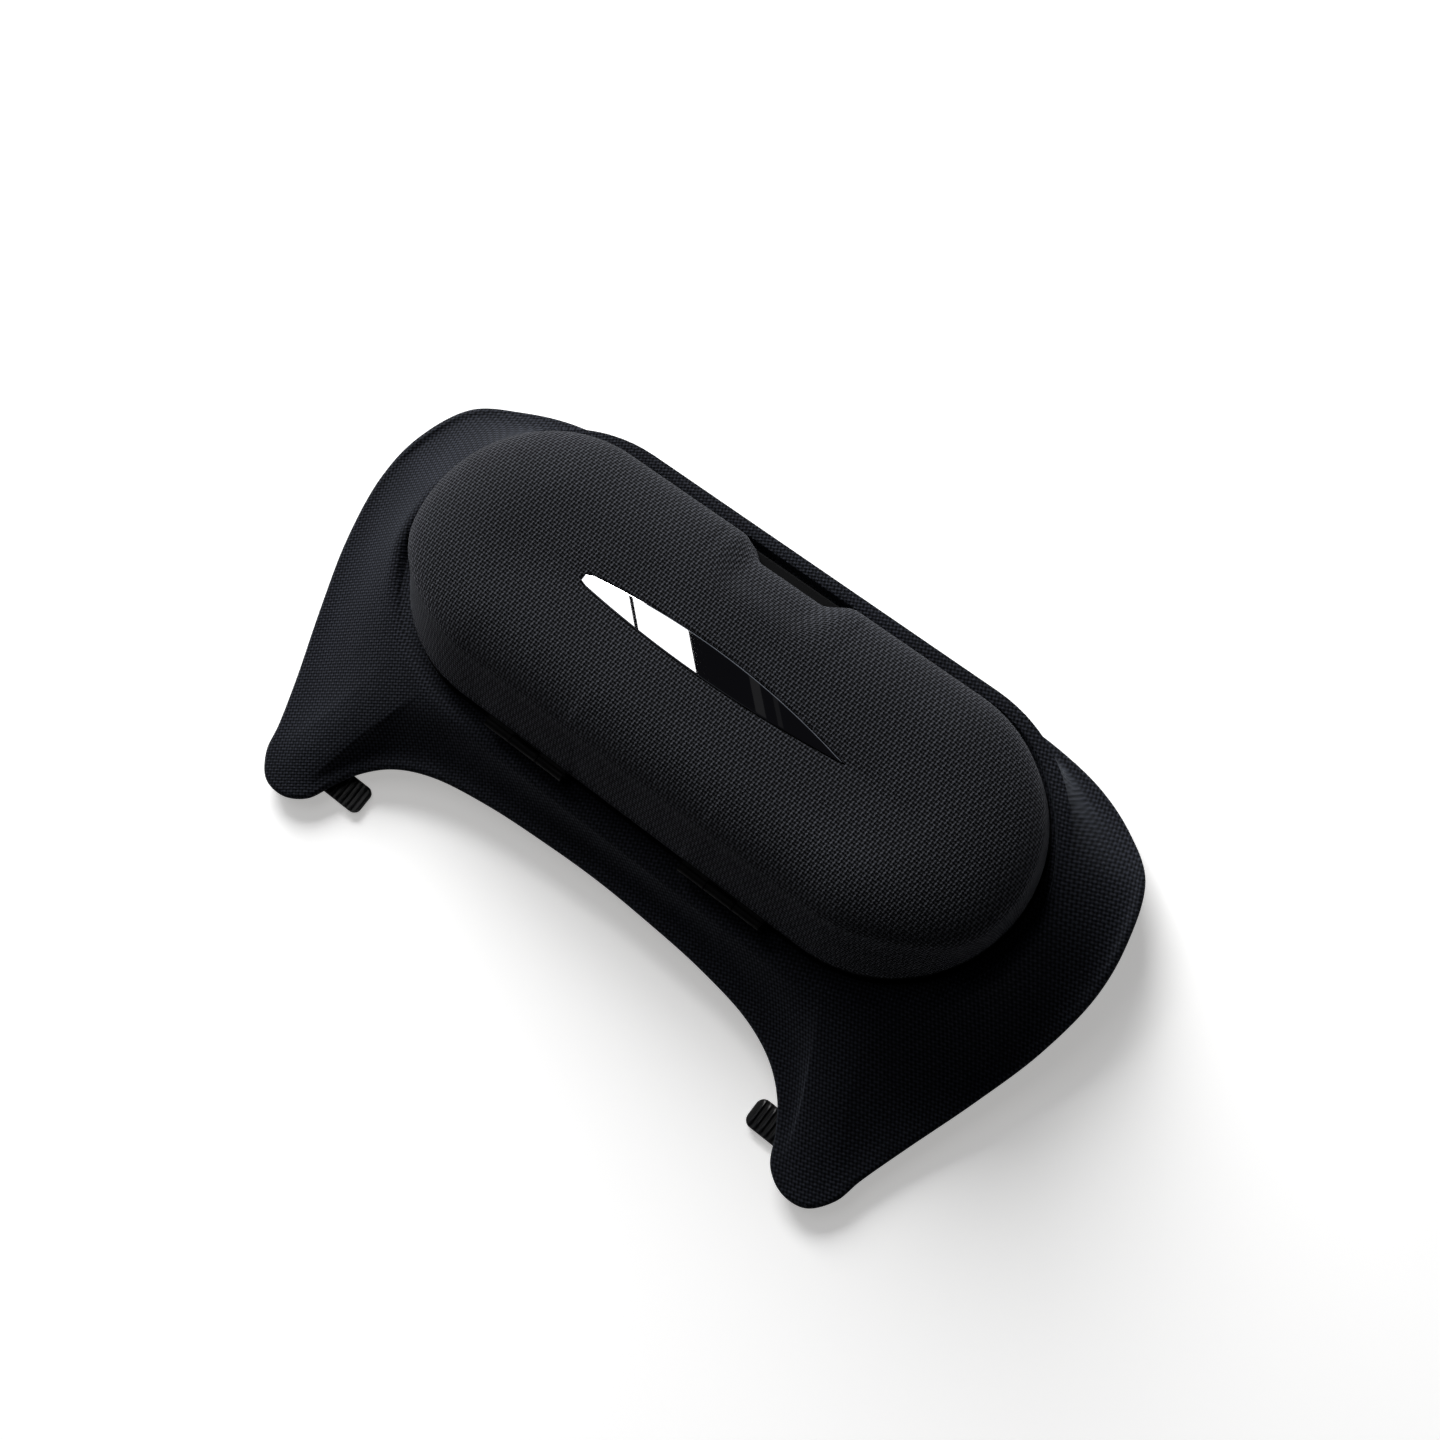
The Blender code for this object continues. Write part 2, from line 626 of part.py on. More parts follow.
def slope_surface(stations, shares, depth):
    """Rings of the sloping top, sunk by depth along the surface normal."""

    def point(station, share):
        rim, inward, foot, out = station
        _, down, start_out = crest(out)
        start_z = SEAM_Z - down - SLOPE_DROP
        start = foot + out * start_out
        end = rim + inward * SLOPE_END_INSET
        bend = end + inward * min(0.45 * (end - start).length, FAN_BEND)
        spot = start.lerp(bend, share).lerp(bend.lerp(end, share), share)
        spot.z = rim.z + (start_z - rim.z) * (1.0 - share) ** SLOPE_POWER
        return spot

    nudge = 0.02
    rings = []
    for share in shares:
        ring = []
        for i, station in enumerate(stations):
            before = point(stations[i - 1], share)
            after = point(stations[(i + 1) % len(stations)], share)
            inner = point(station, max(share - nudge, 0.0))
            outer = point(station, min(share + nudge, 1.0))
            normal = (after - before).cross(outer - inner).normalized()
            out = station[3]
            if normal.dot(out + UP) < 0.0:
                normal = -normal
            # Keeping the normal in the station's own upright plane stops neighbours from crossing.
            normal = (out * normal.dot(out) + UP * normal.z).normalized()
            ring.append(point(station, share) - normal * depth)
        rings.append(ring)
    return rings


def lip_rings(stations, section):
    """Rings around the case. section gives (distance out, height under the seam) pairs for a crest."""
    sections = [section(*crest(out)[:2]) for _, _, _, out in stations]
    rings = []
    for k in range(len(sections[0])):
        ring = []
        for (_, _, foot, out), pairs in zip(stations, sections):
            reach, down = pairs[k]
            ring.append(foot + out * reach + UP * (SEAM_Z - down))
        rings.append(ring)
    return rings


def lip_wall(reach):
    return GAP_START + LIP_WALL_SHARE * (reach - GAP_START)


def lip_face(reach, down):
    """Knit face: along the gap's floor, up the wall and over the crest."""
    return [(GAP_START + f * (reach - GAP_START), down + g * (GAP_DEPTH - down)) for f, g in LIP_TURN]


def lip_back(reach, down):
    wall = lip_wall(reach)
    floor = GAP_DEPTH + KNIT_THICKNESS
    turn = max(reach, wall + 0.9 * MM)
    return [
        (turn, down + 0.85 * MM),
        (wall + 0.85 * MM, min(down + 1.3 * MM, floor - 0.05 * MM)),
        (wall + 0.8 * MM, floor),
        (GAP_START, floor),
    ]


def lip_carrier(reach, down):
    wall = lip_wall(reach)
    floor = SEAM_Z - LEDGE_Z
    turn = max(reach, wall + 1.35 * MM)
    return [
        (-LEDGE_INSET, floor),
        (wall + 1.1 * MM, floor),
        (wall + 1.3 * MM, min(down + 1.75 * MM, floor - 0.05 * MM)),
        (turn, min(down + 1.3 * MM, floor - 0.1 * MM)),
    ]


def lip_underside(reach, down):
    floor = SEAM_Z - LEDGE_Z + CARRIER_THICKNESS
    return [(min(2.0 * MM, reach), floor), (-LEDGE_INSET, floor)]


def rim_ring(stations, inset, drop):
    return [rim + inward * inset - Vector((0.0, 0.0, drop)) for rim, inward, _, _ in stations]


def make_plate(base):
    stations = plate_stations()
    shares = (0.0, 0.15, 0.35, 0.6, 1.0)

    rings = lip_rings(stations, lip_face)
    rings += slope_surface(stations, shares, 0.0)
    rings += [rim_ring(stations, 0.0, MM), rim_ring(stations, RIM_UNDERCUT, RIM_WALL)]
    hem = len(rings)
    rings += [rim_ring(stations, RIM_UNDERCUT + KNIT_THICKNESS, RIM_WALL)]
    rings += [rim_ring(stations, KNIT_THICKNESS, 1.2 * MM)]
    rings += slope_surface(stations, shares[::-1], KNIT_THICKNESS)
    rings += lip_rings(stations, lip_back)
    body = ring_body(rings, closed=True, turn_from=hem)
    hang_on(make_object("plate_fabric_cover", body, "plate_knit"), base)

    rings = lip_rings(stations, lip_carrier)
    rings += slope_surface(stations, shares[1:], CARRIER_DEPTH)
    rings += [rim_ring(stations, CARRIER_DEPTH, 1.5 * MM)]
    rings += [rim_ring(stations, RIM_UNDERCUT + CARRIER_DEPTH, RIM_WALL)]
    edge = len(rings)
    under = slope_surface(stations, (0.92, 0.6, 0.35, 0.15), CARRIER_DEPTH + CARRIER_THICKNESS)
    ceiling = LEDGE_Z - CARRIER_THICKNESS - 0.1 * MM
    for ring in under:
        for spot in ring:
            spot.z = min(spot.z, ceiling)
    rings += under
    rings += lip_rings(stations, lip_underside)
    body = ring_body(rings, closed=True, turn_from=edge)
    return hang_on(make_object("carrier_plate", body, "black_abs"), base)


# ---------------------------------------------------------------- tray and the rest of the base


def make_tray(base, carrier):
    rim_outer, rim_inner = TRAY_RIM_INSETS
    profile = [
        (CASE_RADIUS - 9.0 * MM, TRAY_FLOOR_Z),
        (9.0 * MM, TRAY_FLOOR_Z),
        (7.4 * MM, TRAY_FLOOR_Z + 2.5 * MM),
        (rim_inner, TRAY_RIM_Z),
        (rim_outer, TRAY_RIM_Z),
        (rim_outer, TRAY_RIM_BOTTOM_Z),
        (TRAY_WALL_INSET, TRAY_RIM_BOTTOM_Z),
        (TRAY_WALL_INSET + 1.4 * MM, TRAY_BOTTOM_Z + 2.5 * MM),
        (8.0 * MM, TRAY_BOTTOM_Z),
        (CASE_RADIUS - 9.0 * MM, TRAY_BOTTOM_Z),
    ]
    rings = [case_ring(inset, z, notch=0.0) for inset, z in profile]
    tray = hang_on(make_object("tray", ring_body(rings, closed=False), "black_abs"), base)

    felt = TRAY_LINER_THICKNESS
    top = TRAY_RIM_Z - 0.5 * MM
    profile = [
        (CASE_RADIUS - 9.0 * MM, TRAY_FLOOR_Z + FIT_GAP + felt),
        (10.3 * MM, TRAY_FLOOR_Z + FIT_GAP + felt),
        (8.6 * MM, TRAY_FLOOR_Z + 3.4 * MM),
        (rim_inner + FIT_GAP + felt + 0.1 * MM, top),
        (rim_inner + FIT_GAP + 0.1 * MM, top),
        (7.8 * MM, TRAY_FLOOR_Z + 2.9 * MM),
        (9.5 * MM, TRAY_FLOOR_Z + FIT_GAP),
        (CASE_RADIUS - 9.0 * MM, TRAY_FLOOR_Z + FIT_GAP),
    ]
    rings = [case_ring(inset, z, notch=0.0) for inset, z in profile]
    hang_on(make_object("tray_liner", ring_body(rings, closed=False), "felt"), base)

    screw_radius = CASE_RADIUS - TRAY_SCREW_INSET
    under = LEDGE_Z - CARRIER_THICKNESS
    for x_side, x_name in ((-1, "left"), (1, "right")):
        for y_side, y_name in ((-1, "near"), (1, "far")):
            x = x_side * (CASE_HALF_STRAIGHT + screw_radius * math.cos(TRAY_SCREW_ANGLE))
            y = y_side * screw_radius * math.sin(TRAY_SCREW_ANGLE)
            hole = circle(TRAY_SCREW[2] + FIT_GAP, SCREW_SIDES, (x, y))
            cut(carrier, prism_body(hole, under - MM, LEDGE_Z + MM))
            cut(tray, prism_body(hole, TRAY_RIM_BOTTOM_Z - MM, TRAY_RIM_BOTTOM_Z + 3.2 * MM))
            screw = screw_body((x, y), under - TRAY_SCREW[1] - FIT_GAP, TRAY_SCREW)
            hang_on(make_object(f"tray_screw_{x_name}_{y_name}", screw, "zinc_steel"), base)

    for side, x in zip(("left", "right"), LATCH_XS):
        half_x, half_y = LATCH_SIZE[0] / 2, LATCH_SIZE[1] / 2
        pocket_low = (x - half_x - FIT_GAP, LATCH_Y - half_y - FIT_GAP, TRAY_RIM_Z - STRIKER_HEIGHT - FIT_GAP)
        pocket_high = (x + half_x + FIT_GAP, LATCH_Y + half_y + FIT_GAP, TRAY_RIM_Z + MM)
        cut(tray, box_body(pocket_low, pocket_high))
        plate = box_body(
            (x - half_x, LATCH_Y - half_y, TRAY_RIM_Z - STRIKER_HEIGHT), (x + half_x, LATCH_Y + half_y, TRAY_RIM_Z)
        )
        hang_on(make_object(f"striker_plate_{side}", plate, "zinc_steel"), base)
        spot = (math.copysign(BUMPER_X, x), LATCH_Y + 0.6 * MM)
        seat = circle(BUMPER_RADIUS + 0.4 * MM, SCREW_SIDES, spot)
        cut(tray, prism_body(seat, TRAY_RIM_Z - 1.3 * MM, TRAY_RIM_Z + MM))
        bumper = prism_body(circle(BUMPER_RADIUS, SCREW_SIDES, spot), TRAY_RIM_Z - MM, TRAY_RIM_Z + 0.2 * MM)
        hang_on(make_object(f"bumper_{side}", bumper, "rubber"), base)

    for side, x in zip(("left", "right"), HINGE_XS):
        half = HINGE_LENGTH / 2 + FIT_GAP
        leaf_low = SEAM_Z - BARREL_RADIUS
        recess = box_body(
            (x - half, HINGE_Y - 3.0 * MM, leaf_low - FIT_GAP), (x + half, HINGE_Y + LEAF_REACH + FIT_GAP, SEAM_Z + MM)
        )
        cut(tray, recess)
        make_leaf("base", side, x, base)
        for direction in (-1, 1):
            screw_x = x + direction * LEAF_SCREW_XS["base"]
            outline = circle(LEAF_HOLE_RADIUS, SCREW_SIDES, (screw_x, leaf_screw_y()))
            hole = prism_body(outline, leaf_low - 2.4 * MM, leaf_low + MM)
            cut(tray, hole)
            name = f"base_leaf_screw_{side}_{'inner' if direction * x < 0 else 'outer'}"
            head_z = leaf_low + LEAF_THICKNESS + LEAF_SCREW_GAP
            screw = screw_body((screw_x, leaf_screw_y()), head_z, LEAF_SCREW, up=-1.0)
            hang_on(make_object(name, screw, "zinc_steel"), base)
        pin_half = HINGE_LENGTH / 2 - 0.2 * MM
        ends = []
        for end_x in (x - pin_half, x + pin_half):
            ends.append([(end_x, y, z) for y, z in circle(PIN_RADIUS, BARREL_SIDES, (HINGE_Y, SEAM_Z))])
        hang_on(make_object(f"hinge_pin_{side}", ring_body(ends, closed=False), "black_steel"), base)


def make_tongue(side, direction, base, carrier):
    """Clip tongue: a flat strip under the leg, with rounded tip corners and cross ribs on its free end."""
    corner = TONGUE_CORNER
    low_y, high_y = TONGUE_YS
    tip, root = TONGUE_TIP_X, TONGUE_ROOT_X
    outline = [(root, low_y), (root, high_y), (tip + corner, high_y), (tip + 0.3 * corner, high_y - 0.3 * corner)]
    outline += [(tip, high_y - corner), (tip, low_y + corner), (tip + 0.3 * corner, low_y + 0.3 * corner)]
    outline += [(tip + corner, low_y)]
    strip = prism_body([(direction * x, y) for x, y in outline], *TONGUE_ZS)
    tongue = hang_on(make_object(f"clip_tongue_{side}", strip, "black_abs"), base)
    for i in range(TONGUE_RIBS):
        x = direction * (tip + 1.2 * MM + i * TONGUE_RIB_PITCH)
        low = (x - TONGUE_RIB_HALF, low_y + 1.2 * MM, TONGUE_ZS[1] - 0.2 * MM)
        high = (x + TONGUE_RIB_HALF, high_y - 1.2 * MM, TONGUE_ZS[1] + TONGUE_RIB_HEIGHT)
        join(tongue, box_body(low, high))
    middle_y = (low_y + high_y) / 2
    for place, x in zip(("inner", "outer"), TONGUE_SCREW_XS):
        centre = (direction * x, middle_y)
        recess = circle(TONGUE_SCREW[0] + 0.4 * MM, SCREW_SIDES, centre)
        cut(tongue, prism_body(recess, TONGUE_ZS[0] - MM, TONGUE_ZS[0] + TONGUE_SCREW[1] + FIT_GAP))
        hole = circle(TONGUE_SCREW[2] + FIT_GAP, SCREW_SIDES, centre)
        cut(tongue, prism_body(hole, TONGUE_ZS[0] - MM, TONGUE_ZS[1] + MM))
        cut(carrier, prism_body(hole, TONGUE_ZS[1], TONGUE_ZS[1] + 2.2 * MM))
        screw = screw_body(centre, TONGUE_ZS[0], TONGUE_SCREW)
        hang_on(make_object(f"tongue_screw_{side}_{place}", screw, "zinc_steel"), base)


def make_pads(base):
    length, width, height = PAD_SIZE
    for side, x in (("left", -PAD_X), ("right", PAD_X)):
        pad = box_body((x - length / 2, -width / 2, 0.0), (x + length / 2, width / 2, height))
        hang_on(make_object(f"adhesive_pad_{side}", pad, "adhesive"), base)


def build():
    clear_scene()
    base = make_empty("base_frame", Vector((0.0, CASE_Y, 0.0)))
    axis = make_empty("lid_hinge_axis", Vector((0.0, CASE_Y + HINGE_Y, SEAM_Z)))
    carrier = make_plate(base)
    make_tray(base, carrier)
    for side, direction in (("left", -1), ("right", 1)):
        make_tongue(side, direction, base, carrier)
    make_pads(base)
    make_lid(axis)


build()
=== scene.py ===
import json
import math

import bmesh
import bpy
from mathutils import Matrix, Vector


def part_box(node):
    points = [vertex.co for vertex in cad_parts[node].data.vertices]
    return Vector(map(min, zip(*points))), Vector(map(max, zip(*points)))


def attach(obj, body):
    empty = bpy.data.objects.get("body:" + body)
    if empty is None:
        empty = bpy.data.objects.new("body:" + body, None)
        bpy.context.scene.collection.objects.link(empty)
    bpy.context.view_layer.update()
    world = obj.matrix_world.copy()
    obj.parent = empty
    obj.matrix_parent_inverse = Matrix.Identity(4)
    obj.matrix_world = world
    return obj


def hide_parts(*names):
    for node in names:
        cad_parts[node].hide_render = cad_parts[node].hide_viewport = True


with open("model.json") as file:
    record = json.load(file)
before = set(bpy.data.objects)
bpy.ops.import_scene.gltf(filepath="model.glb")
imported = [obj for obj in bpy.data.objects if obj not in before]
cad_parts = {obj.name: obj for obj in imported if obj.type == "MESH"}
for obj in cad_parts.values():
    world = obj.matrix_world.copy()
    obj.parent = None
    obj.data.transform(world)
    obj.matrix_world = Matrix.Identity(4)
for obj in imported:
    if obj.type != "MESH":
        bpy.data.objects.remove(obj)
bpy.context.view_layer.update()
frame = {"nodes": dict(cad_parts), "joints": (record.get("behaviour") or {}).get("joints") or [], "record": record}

# ---- dimensions, in metres
# Shapes are worked out in case coordinates: the origin is under the middle of the case, on the table.

MM = 0.001
GAP = 0.3 * MM
UP = Vector((0.0, 0.0, 1.0))
FLIP = Vector((-1.0, 1.0, 1.0))
TAU = 2.0 * math.pi

HINGE = Vector(frame["joints"][0]["pos_m"])
HINGE_BACK = 37.2 * MM
SEAM_Z = HINGE.z
HINGE_Y = -HINGE_BACK
ORIGIN = Vector((0.0, HINGE.y + HINGE_BACK, 0.0))

CASE_HALF_STRAIGHT = 52.3 * MM
CASE_RADIUS = 35.7 * MM
CAP_LENGTH = math.pi * CASE_RADIUS
LID_TOP_Z = SEAM_Z + 20.0 * MM
LID_FOOT_Z = SEAM_Z + GAP
# Wall lean, shoulder height and edge width of the lid, and what the near side and the ends add.
LID_SECTION = (1.0 * MM, 9.5 * MM, 20.0 * MM)
LID_SECTION_NEAR = (5.5 * MM, 3.0 * MM, -5.0 * MM)
LID_SECTION_END = (0.0, 0.5 * MM, 4.0 * MM)
LID_FLAT_INSET = 25.5 * MM
LID_KNIT_DEPTH = 0.8 * MM
LID_LINER = (4.8 * MM, 5.6 * MM)
LID_FRAME_HEIGHT = 2.5 * MM
LID_FRAME_INSETS = (1.3 * MM, 7.0 * MM)
ABOVE_FRAME_Z = LID_FOOT_Z + LID_FRAME_HEIGHT + GAP
LID_HINGE_WALL_TOP = SEAM_Z + 12.0 * MM

NOTCH_DEPTH = 3.8 * MM
NOTCH_FLOOR_HALF = 8.5 * MM
NOTCH_MOUTH_HALF = 17.2 * MM
NOTCH_FADE = (6.0 * MM, 20.0 * MM)

TRAY_RIM_Z = SEAM_Z - 0.2 * MM
TRAY_RIM_BOTTOM_Z = SEAM_Z - 4.8 * MM
TRAY_FLOOR_Z = 5.2 * MM
TRAY_BOTTOM_Z = 3.3 * MM
TRAY_MIDDLE_INSET = CASE_RADIUS - 9.0 * MM
TRAY_RIM_INSETS = (0.3 * MM, 6.0 * MM)
TRAY_SCREW_REACH = CASE_RADIUS - 1.7 * MM
TRAY_SCREW_ANGLE = math.radians(60)
TRAY_SCREW_HOLE = 1.5 * MM

HINGE_XS = (-30.0 * MM, 30.0 * MM)
HINGE_LENGTH = 24.0 * MM
HINGE_SIDE_Y = -20.0 * MM
LEAF_REACH = 7.2 * MM
BARREL_RADIUS = 1.2 * MM
BARREL_BORE = 0.6 * MM
KNUCKLE_HALF = 4.0 * MM
LEAF_THICKNESS = 0.75 * MM
LEAF_ROOT = 0.85 * MM
LEAF_TOP_Z = SEAM_Z + BARREL_RADIUS
LEAF_SCREW_XS = {"base": 3.5 * MM, "lid": 7.5 * MM}
LEAF_SCREW_Y = HINGE_Y + LEAF_REACH - 2.4 * MM
LEAF_HOLE = 1.1 * MM

# Screw head heights by head radius, both in millimetres.
SCREW_HEADS = {1.3: 0.25, 1.8: 0.8, 2.5: 1.5}

LATCH_XS = (-34.0 * MM, 34.0 * MM)
LATCH_Y = 31.9 * MM
LATCH_SIZE = (12.0 * MM, 2.4 * MM)
BUMPER_X = 47.0 * MM
BUMPER_Y = LATCH_Y + 0.6 * MM
BUMPER_HOLE = 1.9 * MM

BLADE_HALF_LENGTH = 38.2 * MM
BLADE_Y = 1.8 * MM
BLADE_FAR_BULGE = 4.1 * MM
BLADE_NEAR_BULGE = 2.7 * MM
BLADE_BLUNT_END = 1.3 * MM

# Right half of the plate's rim, from the far middle round to the near middle: x, y and height in millimetres.
PLATE_RIM = [
    (0.0, 42.3, 5.0), (44.0, 42.3, 5.0), (70.0, 41.7, 4.5), (84.0, 39.3, 4.5),
    (95.5, 34.2, 6.0), (105.0, 26.0, 11.0), (110.2, 11.0, 14.0), (111.6, -3.0, 13.0),
    (108.9, -21.0, 10.8), (103.4, -39.0, 8.5), (97.0, -57.0, 6.5), (93.0, -69.0, 5.8),
    (91.2, -76.0, 5.5), (86.5, -81.6, 5.3), (80.0, -82.3, 5.3), (74.3, -79.0, 5.5),
    (70.6, -72.0, 6.0), (66.6, -66.0, 7.0), (60.0, -60.2, 8.5), (50.0, -55.8, 9.5),
    (34.0, -53.0, 10.0), (16.0, -51.7, 10.5), (0.0, -51.2, 10.5),
]
RIM_STEPS = 9
FAN_EVENNESS = 0.15
FAN_EVEN_SPAN = (85.0 * MM, 125.0 * MM)
FAN_BEND = 4.5 * MM
FAN_SMOOTHING = 12
SLOPE_POWER = 2.2
SLOPE_END_INSET = 1.6 * MM
SLOPE_DROP = 0.4 * MM
SLOPE_SMOOTHING = 60
SLOPE_ROWS = 24
RIM_WALL = 2.9 * MM
RIM_UNDERCUT = 0.8 * MM
KNIT_THICKNESS = 0.8 * MM
CREST_FAR = (1.7 * MM, 1.0 * MM)
CREST_END = (4.8 * MM, 1.0 * MM)
CREST_NEAR = (5.8 * MM, 3.6 * MM)
SLOPE_START_FAR = 4.9 * MM
GAP_START = 0.6 * MM
GAP_DEPTH = 4.0 * MM
LIP_WALL_SHARE = 0.62
# The lip's knit face: shares of its reach from the gap's start, and of its height down to the gap's floor.
LIP_TURN = [
    (0.0, 1.0), (0.5, 1.02), (0.59, 0.9), (0.63, 0.62),
    (0.69, 0.36), (0.77, 0.16), (0.87, 0.04), (1.0, 0.0),
]
LEDGE_DOWN = 5.1 * MM
LEDGE_INSET = 3.3 * MM
CARRIER_DEPTH = KNIT_THICKNESS + GAP
CARRIER_THICKNESS = 1.9 * MM
CARRIER_UNDER_ROWS = (22, 19, 17, 14, 11, 8, 6, 4)
# Share of x, and of x squared, by which the plate's rows of knit turn.
WEAVE_TURN = (0.53, -1.1)

TONGUE_TIP_X = 62.5 * MM
TONGUE_ROOT_X = 87.0 * MM
TONGUE_YS = (-75.0 * MM, -67.3 * MM)
TONGUE_ZS = (0.2 * MM, 2.1 * MM)
TONGUE_RIBS = 5
TONGUE_RIB_PITCH = 1.55 * MM
TONGUE_RIB_HEIGHT = 0.5 * MM
TONGUE_RIB_START = 1.0 * MM
TONGUE_CORNER = 2.2 * MM
TONGUE_SCREW_XS = (76.5 * MM, 83.5 * MM)
TONGUE_SCREW_HOLE = 1.3 * MM

CAP_STEPS = 44
CLOTH = "cloth"
FLOOR_GLOW = 0.41
CAMERA_PLACE = ORIGIN + Vector((0.1327, -0.0675, 0.4532 + SEAM_Z))
AZIMUTH, ELEVATION, ROLL = (math.radians(value) for value in (63.7, 72.4, 26.7))


# ---- mesh helpers


def smooth_step(value, low, high):
    share = min(max((value - low) / (high - low), 0.0), 1.0)
    return share * share * (3.0 - 2.0 * share)


def add_object(name, data):
    obj = bpy.data.objects.new(name, data)
    bpy.context.scene.collection.objects.link(obj)
    return obj


def mesh_piece(name, bm, sharp_angle=40.0):
    bmesh.ops.recalc_face_normals(bm, faces=bm.faces)
    mesh = bpy.data.meshes.new(name)
    bm.to_mesh(mesh)
    bm.free()
    mesh.shade_smooth()
    mesh.set_sharp_from_angle(angle=math.radians(sharp_angle))
    obj = add_object(name, mesh)
    obj.location = ORIGIN
    return obj


def ring_body(rings, closed=False, cloth=None):
    """Skins equal rings of points. closed joins the last ring to the first, else both ends are capped.

    cloth gives each point its place on the flat fabric, which the weave materials read.
    """
    bm = bmesh.new()
    layer = bm.verts.layers.float_vector.new(CLOTH) if cloth else None
    rows = []
    for r, ring in enumerate(rings):
        row = []
        for i, point in enumerate(ring):
            vert = bm.verts.new(point)
            if cloth:
                vert[layer] = (*cloth[r][i], 0.0)
            row.append(vert)
        rows.append(row)
    pairs = list(zip(rows, rows[1:]))
    if closed:
        pairs.append((rows[-1], rows[0]))
    count = len(rows[0])
    for lower, upper in pairs:
        for i in range(count):
            j = (i + 1) % count
            bm.faces.new((lower[i], lower[j], upper[j], upper[i]))
    if not closed:
        bm.faces.new(rows[0])
        bm.faces.new(rows[-1])
    return bm


def stacked(outline, section):
    """Rings of an outline, which is called with a size, for (size, z) pairs."""
    return [[(x, y, z) for x, y in outline(size)] for size, z in section]


def prism_body(outline, low_z, high_z):
    return ring_body([[(x, y, z) for x, y in outline] for z in (low_z, high_z)])


def bar_body(section, sides):
    """Round bar along the hinge axis, from (radius, x) pairs."""
    rings = []
    for radius, x in section:
        rings.append([(x, y, z) for y, z in circle(radius, sides, (HINGE_Y, SEAM_Z))])
    return ring_body(rings)


def box_body(low, high):
    outline = [(low[0], low[1]), (high[0], low[1]), (high[0], high[1]), (low[0], high[1])]
    return prism_body(outline, low[2], high[2])


def circle(radius, sides, centre=(0.0, 0.0)):
    angles = [TAU * i / sides for i in range(sides)]
    return [(centre[0] + radius * math.cos(angle), centre[1] + radius * math.sin(angle)) for angle in angles]


def combine(obj, bodies, operation="DIFFERENCE"):
    """Cuts bodies out of the object, or joins them to it, and keeps only the result."""
    helpers = []
    for i, body in enumerate(bodies):
        helper = mesh_piece(f"{obj.name}_helper_{i}", body)
        helpers.append(helper)
        modifier = obj.modifiers.new("shape", "BOOLEAN")
        modifier.operation = operation
        modifier.solver = "EXACT"
        modifier.object = helper
    bpy.context.view_layer.update()
    graph = bpy.context.evaluated_depsgraph_get()
    mesh = bpy.data.meshes.new_from_object(obj.evaluated_get(graph))
    obj.modifiers.clear()
    obj.data = mesh
    for helper in helpers:
        bpy.data.objects.remove(helper, do_unlink=True)
    return obj


# ---- case outline


def spread(low, high, step):
    count = max(int(round((high - low) / step)), 1)
    return [low + (high - low) * i / count for i in range(count + 1)]


def case_points():
    """Unit description of the outline: (base point on the straight axis, outward direction), clockwise."""
    half = {*spread(0.0, 20.0 * MM, 0.7 * MM), *spread(20.0 * MM, CASE_HALF_STRAIGHT, 2.0 * MM)}
    straight = sorted({-x for x in half} | half)
    points = []
    for end in (1.0, -1.0):
        points += [(Vector((end * x, 0.0)), Vector((0.0, end))) for x in straight]
        for i in range(1, CAP_STEPS):
            angle = math.pi * (0.5 * end - i / CAP_STEPS)
            out = Vector((math.cos(angle), math.sin(angle)))
            points.append((Vector((end * CASE_HALF_STRAIGHT, 0.0)), out))
    return points


CASE_POINTS = case_points()


def case_outline(inset):
    """Plan outline at an inset from the case wall, without the notch."""
    return [base + out * (CASE_RADIUS - inset) for base, out in CASE_POINTS]


def notched(base, out, inset, depth):
    """Plan position at an inset, pushed in by a notch of the given depth on the far side."""
    x, y = base + out * (CASE_RADIUS - inset)
    if out.y > 0.999:
        y -= depth * (1.0 - smooth_step(abs(x), NOTCH_FLOOR_HALF, NOTCH_MOUTH_HALF))
    return x, y


# ---- lid


def lid_section(out):
    """The lid's section for an outward direction."""
    near = smooth_step(-out.y, 0.3, 1.0)
    end = smooth_step(abs(out.x), 0.0, 1.0)
    return [a + b * near + c * end for a, b, c in zip(LID_SECTION, LID_SECTION_NEAR, LID_SECTION_END)]


def lid_profile(out, depth, foot_z, steps, skin):
    """(inset, z) pairs of one lid surface for a direction, from its foot to the flat middle of the top.

    The skin's section is evened out, and its foot's edge is rounded.
    """
    wall_steps, edge_steps, top_steps = steps
    lean, shoulder, edge = lid_section(out)
    height = LID_TOP_Z - SEAM_Z
    profile = []
    for i in range(wall_steps):
        z = foot_z + (SEAM_Z + shoulder - foot_z) * i / wall_steps
        profile.append((depth + lean * (z - SEAM_Z) / shoulder, z))
    for i in range(edge_steps + 1):
        angle = 0.5 * math.pi * i / edge_steps
        inset = lean + edge - (edge - depth) * math.cos(angle)
        profile.append((inset, SEAM_Z + shoulder + (height - shoulder - depth) * math.sin(angle)))
    last = profile[-1][0]
    for i in range(1, top_steps + 1):
        profile.append((last + (LID_FLAT_INSET - last) * i / top_steps, LID_TOP_Z - depth))
    if skin:
        middle = [
            tuple(0.25 * p + 0.5 * q + 0.25 * r for p, q, r in zip(*three))
            for three in zip(profile, profile[1:], profile[2:])
        ]
        profile = profile[:1] + middle + profile[-1:]
        profile[0] = (profile[0][0] + 0.2 * MM, foot_z)
        profile.insert(1, (profile[1][0] * 0.2, foot_z + 0.35 * MM))
    return profile


